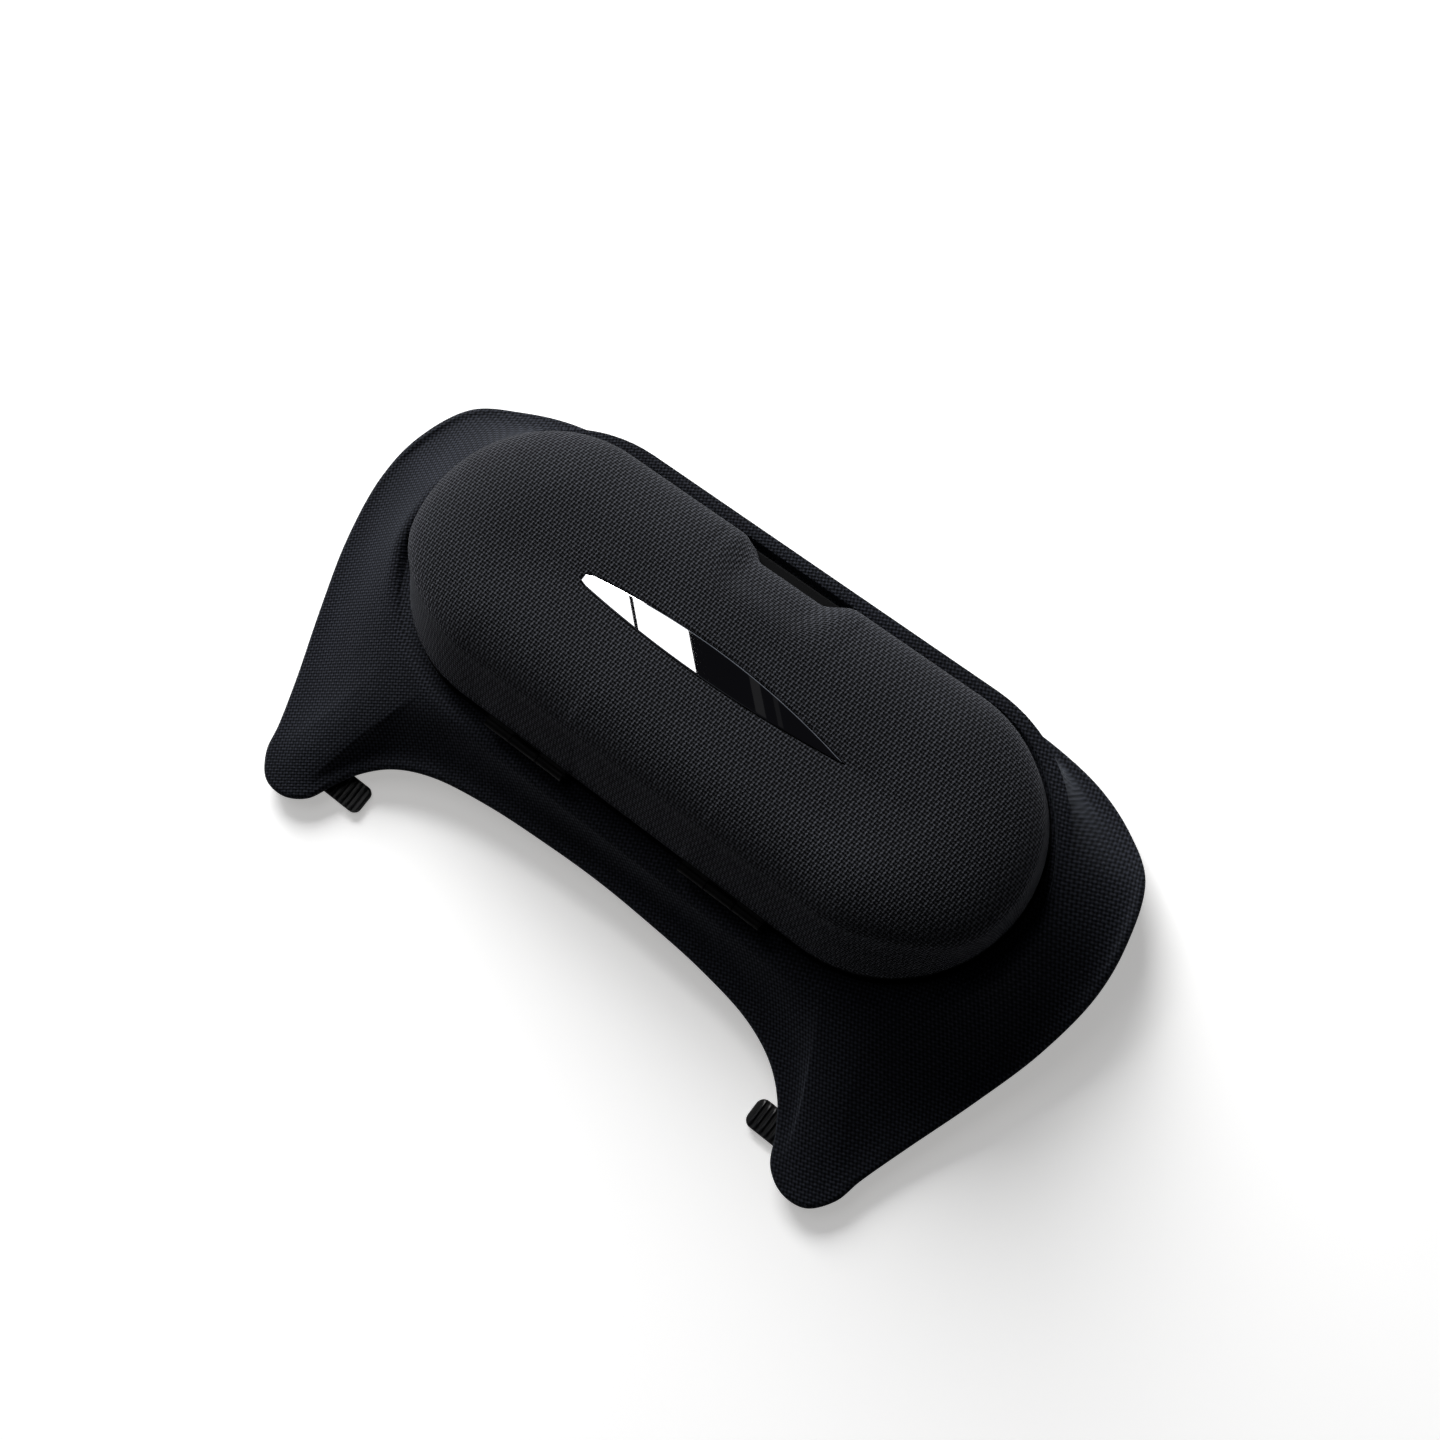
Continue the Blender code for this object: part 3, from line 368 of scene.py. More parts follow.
def lid_rings(depth, foot_z, steps, skin=False):
    """Rings of one lid surface and the flat place of their points, measured along the surface.

    The notch stands upright in the wall and fades out on the top.
    """
    columns, places = [], []
    for base, out in CASE_POINTS:
        lean = lid_section(out)[0]
        profile = lid_profile(out, depth, foot_z, steps, skin)
        column = []
        for inset, z in profile:
            fade = 1.0 - smooth_step(inset - depth, *NOTCH_FADE)
            notch = NOTCH_DEPTH * fade + max(lean + depth - inset, 0.0)
            column.append((*notched(base, out, inset, notch), z))
        columns.append(column)
        left = CASE_RADIUS - LID_FLAT_INSET
        flat = [left]
        for a, b in zip(profile[::-1], profile[-2::-1]):
            left += math.dist(a, b)
            flat.append(left)
        places.append([tuple(base + out * distance) for distance in flat[::-1]])
    return [list(ring) for ring in zip(*columns)], [list(ring) for ring in zip(*places)]


def blade_bulges(share):
    """Distance of the blade's far and near edges from its line, at a share of its length from the left."""
    blunt = BLADE_BLUNT_END * (1.0 - share) ** 2
    arc = 4.0 * share * (1.0 - share)
    return BLADE_FAR_BULGE * arc + blunt, BLADE_NEAR_BULGE * arc + blunt


def blade_outline(grow, steps=40):
    half = BLADE_HALF_LENGTH
    far, near = [], []
    for i in range(1, steps):
        share = i / steps
        x = -half + 2.0 * half * share
        far_bulge, near_bulge = blade_bulges(share)
        far.append((x, BLADE_Y + far_bulge + grow))
        near.append((x, BLADE_Y - near_bulge - grow))
    left = [(-half - grow, BLADE_Y + turn * BLADE_BLUNT_END) for turn in (-0.6, 0.6)]
    return left + far + [(half + 2.0 * grow, BLADE_Y)] + near[::-1]


def blade_edge(x_share, far, grow):
    """Point on the blade's outline: x_share runs from 0 at the left end to 1 at the right tip."""
    half = BLADE_HALF_LENGTH
    x = -half - grow + (2.0 * half + 3.0 * grow) * x_share
    far_bulge, near_bulge = blade_bulges(min(max((x + half) / (2.0 * half), 0.0), 1.0))
    end = 1.0 - max(0.0, 1.0 - x_share * 40.0) ** 2
    end *= 1.0 - max(0.0, 1.0 - (1.0 - x_share) * 40.0) ** 2
    end = math.sqrt(max(end, 0.0))
    if far:
        return x, BLADE_Y + (far_bulge + grow) * end
    return x, BLADE_Y - (near_bulge + grow) * end


def blade_ring(z, grow):
    """Blade outline with one point for each point of the case outline, so that the lid's top can meet it."""
    reach = CASE_HALF_STRAIGHT + CASE_RADIUS - LID_FLAT_INSET
    ring = []
    for base, out in CASE_POINTS:
        x, y = base + out * (CASE_RADIUS - LID_FLAT_INSET)
        px, py = blade_edge(0.5 * (1.0 + x / reach), y > 0.0, grow)
        ring.append((px, py, z))
    return ring


def lift_over_hinges(ring):
    """Raises the wall's foot over the hinge leaves, which come out under it."""
    foot, lifted, wall_top = LID_FOOT_Z, LEAF_TOP_Z + 0.35 * MM, LID_HINGE_WALL_TOP
    result = []
    for x, y, z in ring:
        near = min(abs(x - hinge) for hinge in HINGE_XS)
        if y < HINGE_SIDE_Y and z < wall_top and near < HINGE_LENGTH:
            lift = 1.0 - smooth_step(near, 0.5 * HINGE_LENGTH + GAP, 0.5 * HINGE_LENGTH + GAP + MM)
            z = z + (lifted - foot) * lift * (wall_top - z) / (wall_top - foot)
        result.append((x, y, z))
    return result


def lid_cover():
    """Knit skin of the lid: wall, padded edge, top with the trim's window, and its turned-in inner face."""
    outer, cloth = lid_rings(0.0, LID_FOOT_Z, (8, 18, 4), skin=True)
    rings = [lift_over_hinges(ring) for ring in outer]
    window = [(0.75, 0.0), (0.5, -0.04), (0.36, -0.18), (0.3, -0.4), (0.3, -0.8)]
    for grow, drop in window:
        ring = blade_ring(LID_TOP_Z + drop * MM, grow * MM)
        rings.append(ring)
        cloth.append([(x, y) for x, y, _ in ring])
    inner, _ = lid_rings(LID_KNIT_DEPTH, LID_FOOT_Z, (4, 9, 2))
    for ring in inner[::-1]:
        rings.append(lift_over_hinges(ring))
        cloth.append([(x, y) for x, y, _ in ring])
    return mesh_piece("lid_knit", ring_body(rings, closed=True, cloth=cloth))


def lid_lining():
    outer, inner = (lid_rings(depth, ABOVE_FRAME_Z, (3, 8, 3))[0] for depth in LID_LINER)
    return mesh_piece("lid_felt_lining", ring_body(inner[::-1] + outer))


def latch_pockets(low_z, high_z):
    """Cutters for the two magnets or striker plates."""
    half_x, half_y = (0.5 * size + GAP for size in LATCH_SIZE)
    low_y, high_y = LATCH_Y - half_y, LATCH_Y + half_y
    return [box_body((x - half_x, low_y, low_z), (x + half_x, high_y, high_z)) for x in LATCH_XS]


def hinge_cutters(kind, low_z, high_z, hole_zs, hole_sides):
    """Cutters for the leaves of one kind and for their screws."""
    half = HINGE_LENGTH / 2 + GAP
    cutters = []
    for x in HINGE_XS:
        low = (x - half, HINGE_Y - 3.0 * MM, low_z)
        cutters.append(box_body(low, (x + half, HINGE_Y + LEAF_REACH + GAP, high_z)))
        for screw_x in (x - LEAF_SCREW_XS[kind], x + LEAF_SCREW_XS[kind]):
            cutters.append(prism_body(circle(LEAF_HOLE, hole_sides, (screw_x, LEAF_SCREW_Y)), *hole_zs))
    return cutters


def tray_screw_holes(low_z, high_z, sides):
    """Cutters for the four tray screws."""
    x = CASE_HALF_STRAIGHT + TRAY_SCREW_REACH * math.cos(TRAY_SCREW_ANGLE)
    y = TRAY_SCREW_REACH * math.sin(TRAY_SCREW_ANGLE)
    corners = [(-x, -y), (-x, y), (x, -y), (x, y)]
    return [prism_body(circle(TRAY_SCREW_HOLE, sides, corner), low_z, high_z) for corner in corners]


def lid_frame():
    """Frame in the lid's mouth, which follows the wall outside and stands upright inside."""
    foot = LID_FOOT_Z
    outer, inner = LID_FRAME_INSETS
    soft = 0.25 * MM
    top = foot + LID_FRAME_HEIGHT
    section = [
        (outer, foot + soft, 1.0),
        (outer + soft, foot, 1.0),
        (inner - soft, foot, 0.0),
        (inner, foot + soft, 0.0),
        (inner, top, 0.0),
        (outer, top, 1.0),
    ]
    rings = []
    for inset, z, follow in section:
        ring = []
        for base, out in CASE_POINTS:
            lean, shoulder, _ = lid_section(out)
            wall = lean * (z - SEAM_Z) / shoulder * follow
            ring.append((*notched(base, out, inset + wall, NOTCH_DEPTH + max(lean - wall, 0.0)), z))
        rings.append(ring)
    piece = mesh_piece("lid_rim_frame", ring_body(rings, closed=True))
    cuts = latch_pockets(foot - MM, foot + 1.5 * MM)
    cuts += hinge_cutters("lid", foot - MM, LEAF_TOP_Z + GAP, (LEAF_TOP_Z - MM, foot + 2.2 * MM), 20)
    return combine(piece, cuts)


# ---- saddle plate


def spline_point(points, share):
    """Point between the second and the third of four points, on a centripetal Catmull-Rom curve."""
    knots = [0.0]
    for a, b in zip(points, points[1:]):
        knots.append(knots[-1] + math.sqrt((b - a).length))
    t = knots[1] + (knots[2] - knots[1]) * share

    def blend(a, b, start, end):
        return a.lerp(b, (t - knots[start]) / (knots[end] - knots[start]))

    first = [blend(points[i], points[i + 1], i, i + 1) for i in range(3)]
    second = [blend(first[i], first[i + 1], i, i + 2) for i in range(2)]
    return blend(second[0], second[1], 1, 2)


def rim_curve():
    points = [Vector(point) * MM for point in PLATE_RIM]
    line = [points[1] * FLIP] + points + [points[-2] * FLIP]
    curve = []
    for i in range(1, len(line) - 2):
        for step in range(RIM_STEPS):
            curve.append(spline_point(line[i - 1 : i + 3], step / RIM_STEPS))
    curve.append(points[-1])
    return curve


def case_foot(along):
    """Place on the case wall and outward direction, at a distance along the right half of its outline."""
    if along <= CASE_HALF_STRAIGHT:
        return Vector((along, CASE_RADIUS, 0.0)), Vector((0.0, 1.0, 0.0))
    if along >= CASE_HALF_STRAIGHT + CAP_LENGTH:
        x = 2.0 * CASE_HALF_STRAIGHT + CAP_LENGTH - along
        return Vector((x, -CASE_RADIUS, 0.0)), Vector((0.0, -1.0, 0.0))
    angle = 0.5 * math.pi - (along - CASE_HALF_STRAIGHT) / CASE_RADIUS
    out = Vector((math.cos(angle), math.sin(angle), 0.0))
    return Vector((CASE_HALF_STRAIGHT, 0.0, 0.0)) + out * CASE_RADIUS, out


def nearest_foot(point):
    """Distance along the right half of the case outline at which it is nearest to a point."""
    if point.x <= CASE_HALF_STRAIGHT:
        if point.y > 0.0:
            return point.x
        return 2.0 * CASE_HALF_STRAIGHT + CAP_LENGTH - point.x
    angle = math.atan2(point.y, point.x - CASE_HALF_STRAIGHT)
    return CASE_HALF_STRAIGHT + CASE_RADIUS * (0.5 * math.pi - angle)


def plate_stations():
    """Rim point, its inward direction, case foot and outward direction, all round the plate."""
    half = rim_curve()
    lengths = [0.0]
    for a, b in zip(half, half[1:]):
        lengths.append(lengths[-1] + (b - a).length)
    whole = 2.0 * CASE_HALF_STRAIGHT + CAP_LENGTH
    alongs = []
    for i, rim in enumerate(half):
        along = nearest_foot(rim)
        even = whole * lengths[i] / lengths[-1]
        alongs.append(along + FAN_EVENNESS * smooth_step(along, *FAN_EVEN_SPAN) * (even - along))
    for _ in range(FAN_SMOOTHING):
        alongs = [alongs[0]] + [
            0.25 * alongs[i - 1] + 0.5 * alongs[i] + 0.25 * alongs[i + 1] for i in range(1, len(alongs) - 1)
        ] + [alongs[-1]]
    stations = []
    for i, rim in enumerate(half):
        tangent = (half[min(i + 1, len(half) - 1)] - half[max(i - 1, 0)]).xy.normalized()
        if i in (0, len(half) - 1):
            tangent = Vector((1.0 if i == 0 else -1.0, 0.0))
        stations.append((rim, Vector((tangent.y, -tangent.x, 0.0)), *case_foot(alongs[i])))
    mirrored = [tuple(part * FLIP for part in station) for station in stations[1:-1]]
    return stations + mirrored[::-1]


STATIONS = plate_stations()


def crest(out):
    """Reach of the lip's crest, its height under the seam and the slope's start, for a direction."""
    far = smooth_step(out.y, 0.0, 0.75)
    wide = smooth_step(-out.y, 0.0, 0.4)
    flat = smooth_step(-out.y, 0.1, 0.95)
    reach = CREST_END[0] + (CREST_FAR[0] - CREST_END[0]) * far + (CREST_NEAR[0] - CREST_END[0]) * wide
    down = CREST_END[1] + (CREST_NEAR[1] - CREST_END[1]) * flat
    start = reach + MM
    return reach, down, start + (SLOPE_START_FAR - start) * far


def slope_grid():
    """Rows of points of the sloping top, from the lip to the rim. Heights are evened out between both."""
    rows = []
    for row in range(SLOPE_ROWS + 1):
        share = row / SLOPE_ROWS
        line = []
        for rim, inward, foot, out in STATIONS:
            _, down, start_out = crest(out)
            start = foot + out * start_out
            end = rim + inward * SLOPE_END_INSET
            bend = end + inward * min(0.45 * (end - start).length, FAN_BEND)
            spot = start.lerp(bend, share).lerp(bend.lerp(end, share), share)
            spot.z = rim.z + (SEAM_Z - down - SLOPE_DROP - rim.z) * (1.0 - share) ** SLOPE_POWER
            line.append(spot)
        rows.append(line)
    count = len(STATIONS)
    heights = [[spot.z for spot in line] for line in rows]
    for _ in range(SLOPE_SMOOTHING):
        evened = [list(line) for line in heights]
        for r in range(1, SLOPE_ROWS):
            above, line, below = heights[r - 1], heights[r], heights[r + 1]
            for i in range(count):
                sides = line[i - 1] + line[(i + 1) % count]
                evened[r][i] = 0.5 * line[i] + 0.2 * sides + 0.05 * (above[i] + below[i])
        heights = evened
    for line, levels in zip(rows, heights):
        for spot, level in zip(line, levels):
            spot.z = level
    return rows


SLOPE = slope_grid()


def slope_surface(picked, depth):
    """Rings at the picked rows of the slope, sunk by depth along the surface normal."""
    rings = []
    count = len(STATIONS)
    for r in picked:
        line, inner, outer = SLOPE[r], SLOPE[max(r - 1, 0)], SLOPE[min(r + 1, SLOPE_ROWS)]
        ring = []
        for i in range(count):
            along = line[(i + 1) % count] - line[i - 1]
            normal = along.cross(outer[i] - inner[i]).normalized()
            out = STATIONS[i][3]
            if normal.dot(out + UP) < 0.0:
                normal = -normal
            normal = (out * normal.dot(out) + UP * normal.z).normalized()
            ring.append(line[i] - normal * depth)
        rings.append(ring)
    return rings


def lip_rings(section):
    """Rings around the case. section gives (distance out, height under the seam) pairs for a crest."""
    sections = [section(*crest(out)[:2]) for _, _, _, out in STATIONS]
    rings = []
    for k in range(len(sections[0])):
        ring = []
        for (_, _, foot, out), pairs in zip(STATIONS, sections):
            reach, down = pairs[k]
            ring.append(foot + out * reach + UP * (SEAM_Z - down))
        rings.append(ring)
    return rings


def lip_wall(reach):
    return GAP_START + LIP_WALL_SHARE * (reach - GAP_START)


def lip_face(reach, down):
    """Knit face: along the gap's floor, up the wall and over the crest."""
    return [(GAP_START + f * (reach - GAP_START), down + g * (GAP_DEPTH - down)) for f, g in LIP_TURN]


def lip_back(reach, down):
    wall = lip_wall(reach)
    floor = GAP_DEPTH + KNIT_THICKNESS
    turn = max(reach, wall + 0.9 * MM)
    return [
        (turn, down + 0.85 * MM),
        (wall + 0.85 * MM, min(down + 1.3 * MM, floor - 0.05 * MM)),
        (wall + 0.8 * MM, floor),
        (GAP_START, floor),
    ]


def lip_carrier(reach, down):
    wall = lip_wall(reach)
    turn = max(reach, wall + 1.35 * MM)
    return [
        (-LEDGE_INSET, LEDGE_DOWN),
        (wall + 1.1 * MM, LEDGE_DOWN),
        (wall + 1.3 * MM, min(down + 1.75 * MM, LEDGE_DOWN - 0.05 * MM)),
        (turn, min(down + 1.3 * MM, LEDGE_DOWN - 0.1 * MM)),
    ]


def lip_under(reach, _):
    under = LEDGE_DOWN + CARRIER_THICKNESS
    return [(min(2.0 * MM, reach), under), (-LEDGE_INSET, under)]


def rim_ring(inset, drop):
    return [rim + inward * inset - UP * drop for rim, inward, _, _ in STATIONS]


def weave_place(point):
    """Flat place of a point of the plate's fabric. Its rows run at a slant, which is steeper to the left."""
    x, y, z = point
    turn = WEAVE_TURN[0] * x + WEAVE_TURN[1] * x * x
    return (0.88 * x + 0.47 * (y + 0.5 * z), 0.88 * (y + 0.35 * z - turn))


def plate_cover():
    """Knit skin of the plate: rolled lip round the case, slope, soft rim, hem and back."""
    rings = lip_rings(lip_face)
    rings += slope_surface(range(SLOPE_ROWS + 1), 0.0)
    edge_steps = 6
    for i in range(1, edge_steps + 1):
        angle = 0.5 * math.pi * i / edge_steps
        inset = SLOPE_END_INSET * (1.0 - math.sin(angle))
        rings.append(rim_ring(inset, 1.3 * MM * (1.0 - math.cos(angle))))
    hem = [
        (0.12 * MM, 1.9 * MM),
        (0.45 * MM, 2.5 * MM),
        (RIM_UNDERCUT, RIM_WALL),
        (RIM_UNDERCUT + 0.4 * MM, RIM_WALL + 0.05 * MM),
        (RIM_UNDERCUT + KNIT_THICKNESS, RIM_WALL),
        (KNIT_THICKNESS + 0.1 * MM, 1.3 * MM),
    ]
    rings += [rim_ring(inset, drop) for inset, drop in hem]
    rings += slope_surface(range(SLOPE_ROWS, -1, -2), KNIT_THICKNESS)
    rings += lip_rings(lip_back)
    cloth = [[weave_place(point) for point in ring] for ring in rings]
    return mesh_piece("plate_knit_cover", ring_body(rings, closed=True, cloth=cloth), sharp_angle=60.0)


# ---- tray, linings and clip tongues


def tray_piece():
    """Tub with rounded floor edges and a thick rim."""
    soft = 0.4 * MM
    rim_outer, rim_inner = TRAY_RIM_INSETS
    profile = [
        (TRAY_MIDDLE_INSET, TRAY_FLOOR_Z),
        (10.0 * MM, TRAY_FLOOR_Z),
        (8.6 * MM, TRAY_FLOOR_Z + 0.5 * MM),
        (7.6 * MM, TRAY_FLOOR_Z + 1.9 * MM),
        (7.3 * MM, TRAY_FLOOR_Z + 4.0 * MM),
        (rim_inner, TRAY_RIM_Z - soft),
        (rim_inner - soft, TRAY_RIM_Z),
        (rim_outer + soft, TRAY_RIM_Z),
        (rim_outer, TRAY_RIM_Z - soft),
        (rim_outer, TRAY_RIM_BOTTOM_Z),
        (4.4 * MM, TRAY_RIM_BOTTOM_Z),
        (5.8 * MM, TRAY_BOTTOM_Z + 2.5 * MM),
        (6.6 * MM, TRAY_BOTTOM_Z + 0.8 * MM),
        (8.0 * MM, TRAY_BOTTOM_Z),
        (TRAY_MIDDLE_INSET, TRAY_BOTTOM_Z),
    ]
    tray = mesh_piece("case_tray", ring_body(stacked(case_outline, profile)))
    cuts = latch_pockets(TRAY_RIM_Z - 1.2 * MM, TRAY_RIM_Z + MM)
    for x in (-BUMPER_X, BUMPER_X):
        hole = circle(BUMPER_HOLE, 24, (x, BUMPER_Y))
        cuts.append(prism_body(hole, TRAY_RIM_Z - 1.3 * MM, TRAY_RIM_Z + MM))
    cuts += hinge_cutters("base", SEAM_Z - 1.5 * MM, SEAM_Z + MM, (SEAM_Z - 3.6 * MM, SEAM_Z), 16)
    cuts += tray_screw_holes(TRAY_RIM_BOTTOM_Z - MM, TRAY_RIM_BOTTOM_Z + 3.2 * MM, 16)
    return combine(tray, cuts)


def tray_lining():
    """Felt on the tray's floor and wall."""
    felt = 0.8 * MM
    top = TRAY_RIM_Z - 0.5 * MM
    low = TRAY_FLOOR_Z + GAP
    profile = [
        (TRAY_MIDDLE_INSET, low + felt),
        (11.6 * MM, low + felt),
        (10.0 * MM, low + felt + 0.5 * MM),
        (9.0 * MM, TRAY_FLOOR_Z + 3.0 * MM),
        (8.6 * MM, TRAY_FLOOR_Z + 5.0 * MM),
        (7.3 * MM, top - 0.3 * MM),
        (7.0 * MM, top),
        (6.4 * MM, top),
        (7.8 * MM, TRAY_FLOOR_Z + 4.4 * MM),
        (9.5 * MM, low + 0.7 * MM),
        (TRAY_MIDDLE_INSET, low),
    ]
    return mesh_piece("tray_felt_lining", ring_body(stacked(case_outline, profile)))


def tongue_piece(side, direction):
    """Flat strip with a rounded tip, soft edges and rounded cross ribs on its free end."""
    low_y, high_y = TONGUE_YS
    low_z, high_z = TONGUE_ZS
    middle_y, half_y = 0.5 * (low_y + high_y), 0.5 * (high_y - low_y)
    soft = 0.35 * MM
    length = TONGUE_ROOT_X - TONGUE_TIP_X
    ribs_end = TONGUE_RIB_START + TONGUE_RIBS * TONGUE_RIB_PITCH
    xs = {0.0, 0.05 * MM, 0.2 * MM, *spread(0.4 * MM, ribs_end + MM, 0.13 * MM)}
    xs = sorted(xs | set(spread(10.0 * MM, length, 1.5 * MM)))

    def width_at(x):
        if x >= TONGUE_CORNER:
            return half_y
        return half_y - TONGUE_CORNER + math.sqrt(TONGUE_CORNER**2 - (TONGUE_CORNER - x) ** 2)

    def rib_at(x, y):
        place = (x - TONGUE_RIB_START) / TONGUE_RIB_PITCH
        if place < 0.0 or place > TONGUE_RIBS:
            return 0.0
        crest = max(0.0, math.cos((place - math.floor(place) - 0.5) * TAU * 0.9)) ** 0.7
        inside = 1.0 - smooth_step(abs(y - middle_y), half_y - 1.5 * MM, half_y - 0.7 * MM)
        return TONGUE_RIB_HEIGHT * crest * inside

    left_side = [(-1, 0.0), (-1, 0.55), (-0.97, 0.85), (-0.93, 1.0)]
    under = [(1, -0.55), (0.97, -0.85), (0.93, -1.0), (0.3, -1.0)]
    rest = [(-s, t) for s, t in left_side[::-1]] + under + [(-s, t) for s, t in under[::-1]]
    mid_z = 0.5 * (high_z + low_z)
    rings = []
    for x in xs:
        half = width_at(x)
        end = min(1.0, (x + 0.02 * MM) / (0.4 * MM)) ** 0.5
        tall = 0.5 * (high_z - low_z) * (0.35 + 0.65 * end)
        ring = [(middle_y + s * half, mid_z + t * tall) for s, t in left_side]
        for i in range(1, 12):
            y = middle_y + (i / 6.0 - 1.0) * (half - soft)
            ring.append((y, mid_z + tall + rib_at(x, y)))
        ring += [(middle_y + s * half, mid_z + t * tall) for s, t in rest]
        rings.append([(direction * (TONGUE_TIP_X + x), y, z) for y, z in ring])
    return mesh_piece(f"tongue_{side}", ring_body(rings))


def blade_piece():
    """Polished trim with a narrow bevel all round."""
    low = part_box("blade_trim")[0][2]
    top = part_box("blade_trim")[1][2]
    soft = 0.16 * MM
    section = [
        (0.0, low),
        (0.0, top - soft),
        (-0.1 * MM, top - 0.35 * soft),
        (-soft, top - 0.03 * MM),
        (-0.24 * MM, top),
    ]
    return mesh_piece("blade_mirror", ring_body(stacked(blade_outline, section)), sharp_angle=4.0)


# ---- screws and hinges


def screw_piece(node):
    """Cross-head screw in the place of the CAD one: its box says which way the head points."""
    low, high = (Vector(corner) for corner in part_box(node))
    centre = 0.5 * (low + high)
    head_radius = 0.5 * (high.x - low.x)
    cad = frame["nodes"][node].data
    wide_low, wide_high = (
        max((v.co.xy - centre.xy).length for v in cad.vertices if abs(v.co.z - level) < 0.1 * MM)
        for level in (low.z, high.z)
    )
    up = 1.0 if wide_low > wide_high else -1.0
    start = low.z if up > 0.0 else high.z
    total = high.z - low.z
    shank_radius = min(wide_low, wide_high)
    head_height = SCREW_HEADS[round(head_radius / MM, 1)] * MM
    profile = [
        (0.0001 * MM, 0.0),
        (0.72 * head_radius, 0.0),
        (0.92 * head_radius, 0.1 * head_height),
        (head_radius, 0.35 * head_height),
        (head_radius, head_height),
        (shank_radius, head_height),
        (shank_radius, total - 0.3 * MM),
        (0.6 * shank_radius, total),
    ]
    section = [(radius, start + up * along) for radius, along in profile]
    rings = stacked(lambda radius: circle(radius, 28, centre.xy), section)
    piece = mesh_piece(f"{node}_crosshead", ring_body(rings))
    piece.location = (0.0, 0.0, 0.0)
    arm, thin = 0.6 * head_radius, 0.13 * head_radius
    low_z, high_z = sorted((start - up * 0.1 * MM, start + up * 0.45 * head_height))
    helpers = []
    for dx, dy in ((arm, thin), (thin, arm)):
        helper = box_body((centre.x - dx, centre.y - dy, low_z), (centre.x + dx, centre.y + dy, high_z))
        bmesh.ops.translate(helper, verts=helper.verts, vec=-ORIGIN)
        helpers.append(helper)
    return combine(piece, helpers)


def leaf_piece(kind, side, x):
    """Hinge leaf. The base leaf has the middle knuckle, the lid leaf has the two outer ones."""
    half, split, barrel = HINGE_LENGTH / 2, KNUCKLE_HALF, BARREL_RADIUS
    if kind == "base":
        spans = [(x - split, x + split)]
        low_z, high_z = SEAM_Z - barrel, SEAM_Z - barrel + LEAF_THICKNESS
    else:
        spans = [(x - half, x - split - GAP), (x + split + GAP, x + half)]
        low_z, high_z = SEAM_Z + barrel - LEAF_THICKNESS, SEAM_Z + barrel
    end = HINGE_Y + LEAF_REACH
    name = f"{kind}_hinge_leaf_{side}"
    leaf = mesh_piece(name, box_body((x - half, HINGE_Y + barrel + GAP, low_z), (x + half, end, high_z)))
    additions = []
    for low_x, high_x in spans:
        additions.append(box_body((low_x, HINGE_Y + LEAF_ROOT, low_z), (high_x, end, high_z)))
        additions.append(bar_body([(barrel, low_x), (barrel, high_x)], 32))
    combine(leaf, additions, "UNION")
    cuts = []
    for screw_x in (x - LEAF_SCREW_XS[kind], x + LEAF_SCREW_XS[kind]):
        cuts.append(prism_body(circle(LEAF_HOLE, 24, (screw_x, LEAF_SCREW_Y)), low_z - MM, high_z + MM))
    cuts.append(bar_body([(BARREL_BORE, x - half - MM), (BARREL_BORE, x + half + MM)], 32))
    return combine(leaf, cuts)


def pin_piece(side, x):
    half = HINGE_LENGTH / 2 - 0.2 * MM
    soft = 0.15 * MM
    section = [(0.35 * MM, -half), (0.5 * MM, -half + soft), (0.5 * MM, half - soft), (0.35 * MM, half)]
    return mesh_piece(f"hinge_pin_steel_{side}", bar_body([(radius, x + at) for radius, at in section], 24))


def pad_piece(side, node):
    """Foam tape with rounded plan corners and a slightly soft edge."""
    low, high = (Vector(corner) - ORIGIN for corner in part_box(node))
    corner, soft = 4.0 * MM, 0.35 * MM

    left, right, near, far = low.x + corner, high.x - corner, low.y + corner, high.y - corner

    def outline(inset):
        reach = corner - inset
        points = []
        for x, y, quarter in ((right, far, 0), (left, far, 1), (left, near, 2), (right, near, 3)):
            for i in range(9):
                angle = 0.5 * math.pi * (quarter + i / 8)
                points.append((x + reach * math.cos(angle), y + reach * math.sin(angle)))
        return points

    section = [(soft, low.z), (0.0, low.z + soft), (0.0, high.z - soft), (soft, high.z)]
    return mesh_piece(f"foam_tape_{side}", ring_body(stacked(outline, section)))


def carrier_piece():
    """Moulded carrier under the knit, seen from below and in the shut gap."""
    depth, thick = CARRIER_DEPTH, CARRIER_THICKNESS
    under_down = LEDGE_DOWN + thick
    rings = lip_rings(lip_carrier)
    rings += slope_surface(range(4, SLOPE_ROWS + 1, 2), depth)
    rings += [rim_ring(depth, 1.5 * MM), rim_ring(RIM_UNDERCUT + depth, RIM_WALL)]
    under = slope_surface(CARRIER_UNDER_ROWS, depth + thick)
    ceiling = SEAM_Z - under_down - 0.1 * MM
    for ring in under:
        for spot in ring:
            spot.z = min(spot.z, ceiling)
    rings += under
    rings += lip_rings(lip_under)
    piece = mesh_piece("saddle_carrier", ring_body(rings, closed=True))
    cuts = tray_screw_holes(SEAM_Z - under_down - MM, SEAM_Z - LEDGE_DOWN + MM, 20)
    for x in TONGUE_SCREW_XS:
        for centre_x in (-x, x):
            hole = circle(TONGUE_SCREW_HOLE, 20, (centre_x, 0.5 * sum(TONGUE_YS)))
            cuts.append(prism_body(hole, TONGUE_ZS[1], TONGUE_ZS[1] + 2.2 * MM))
    return combine(piece, cuts)


# ---- materials


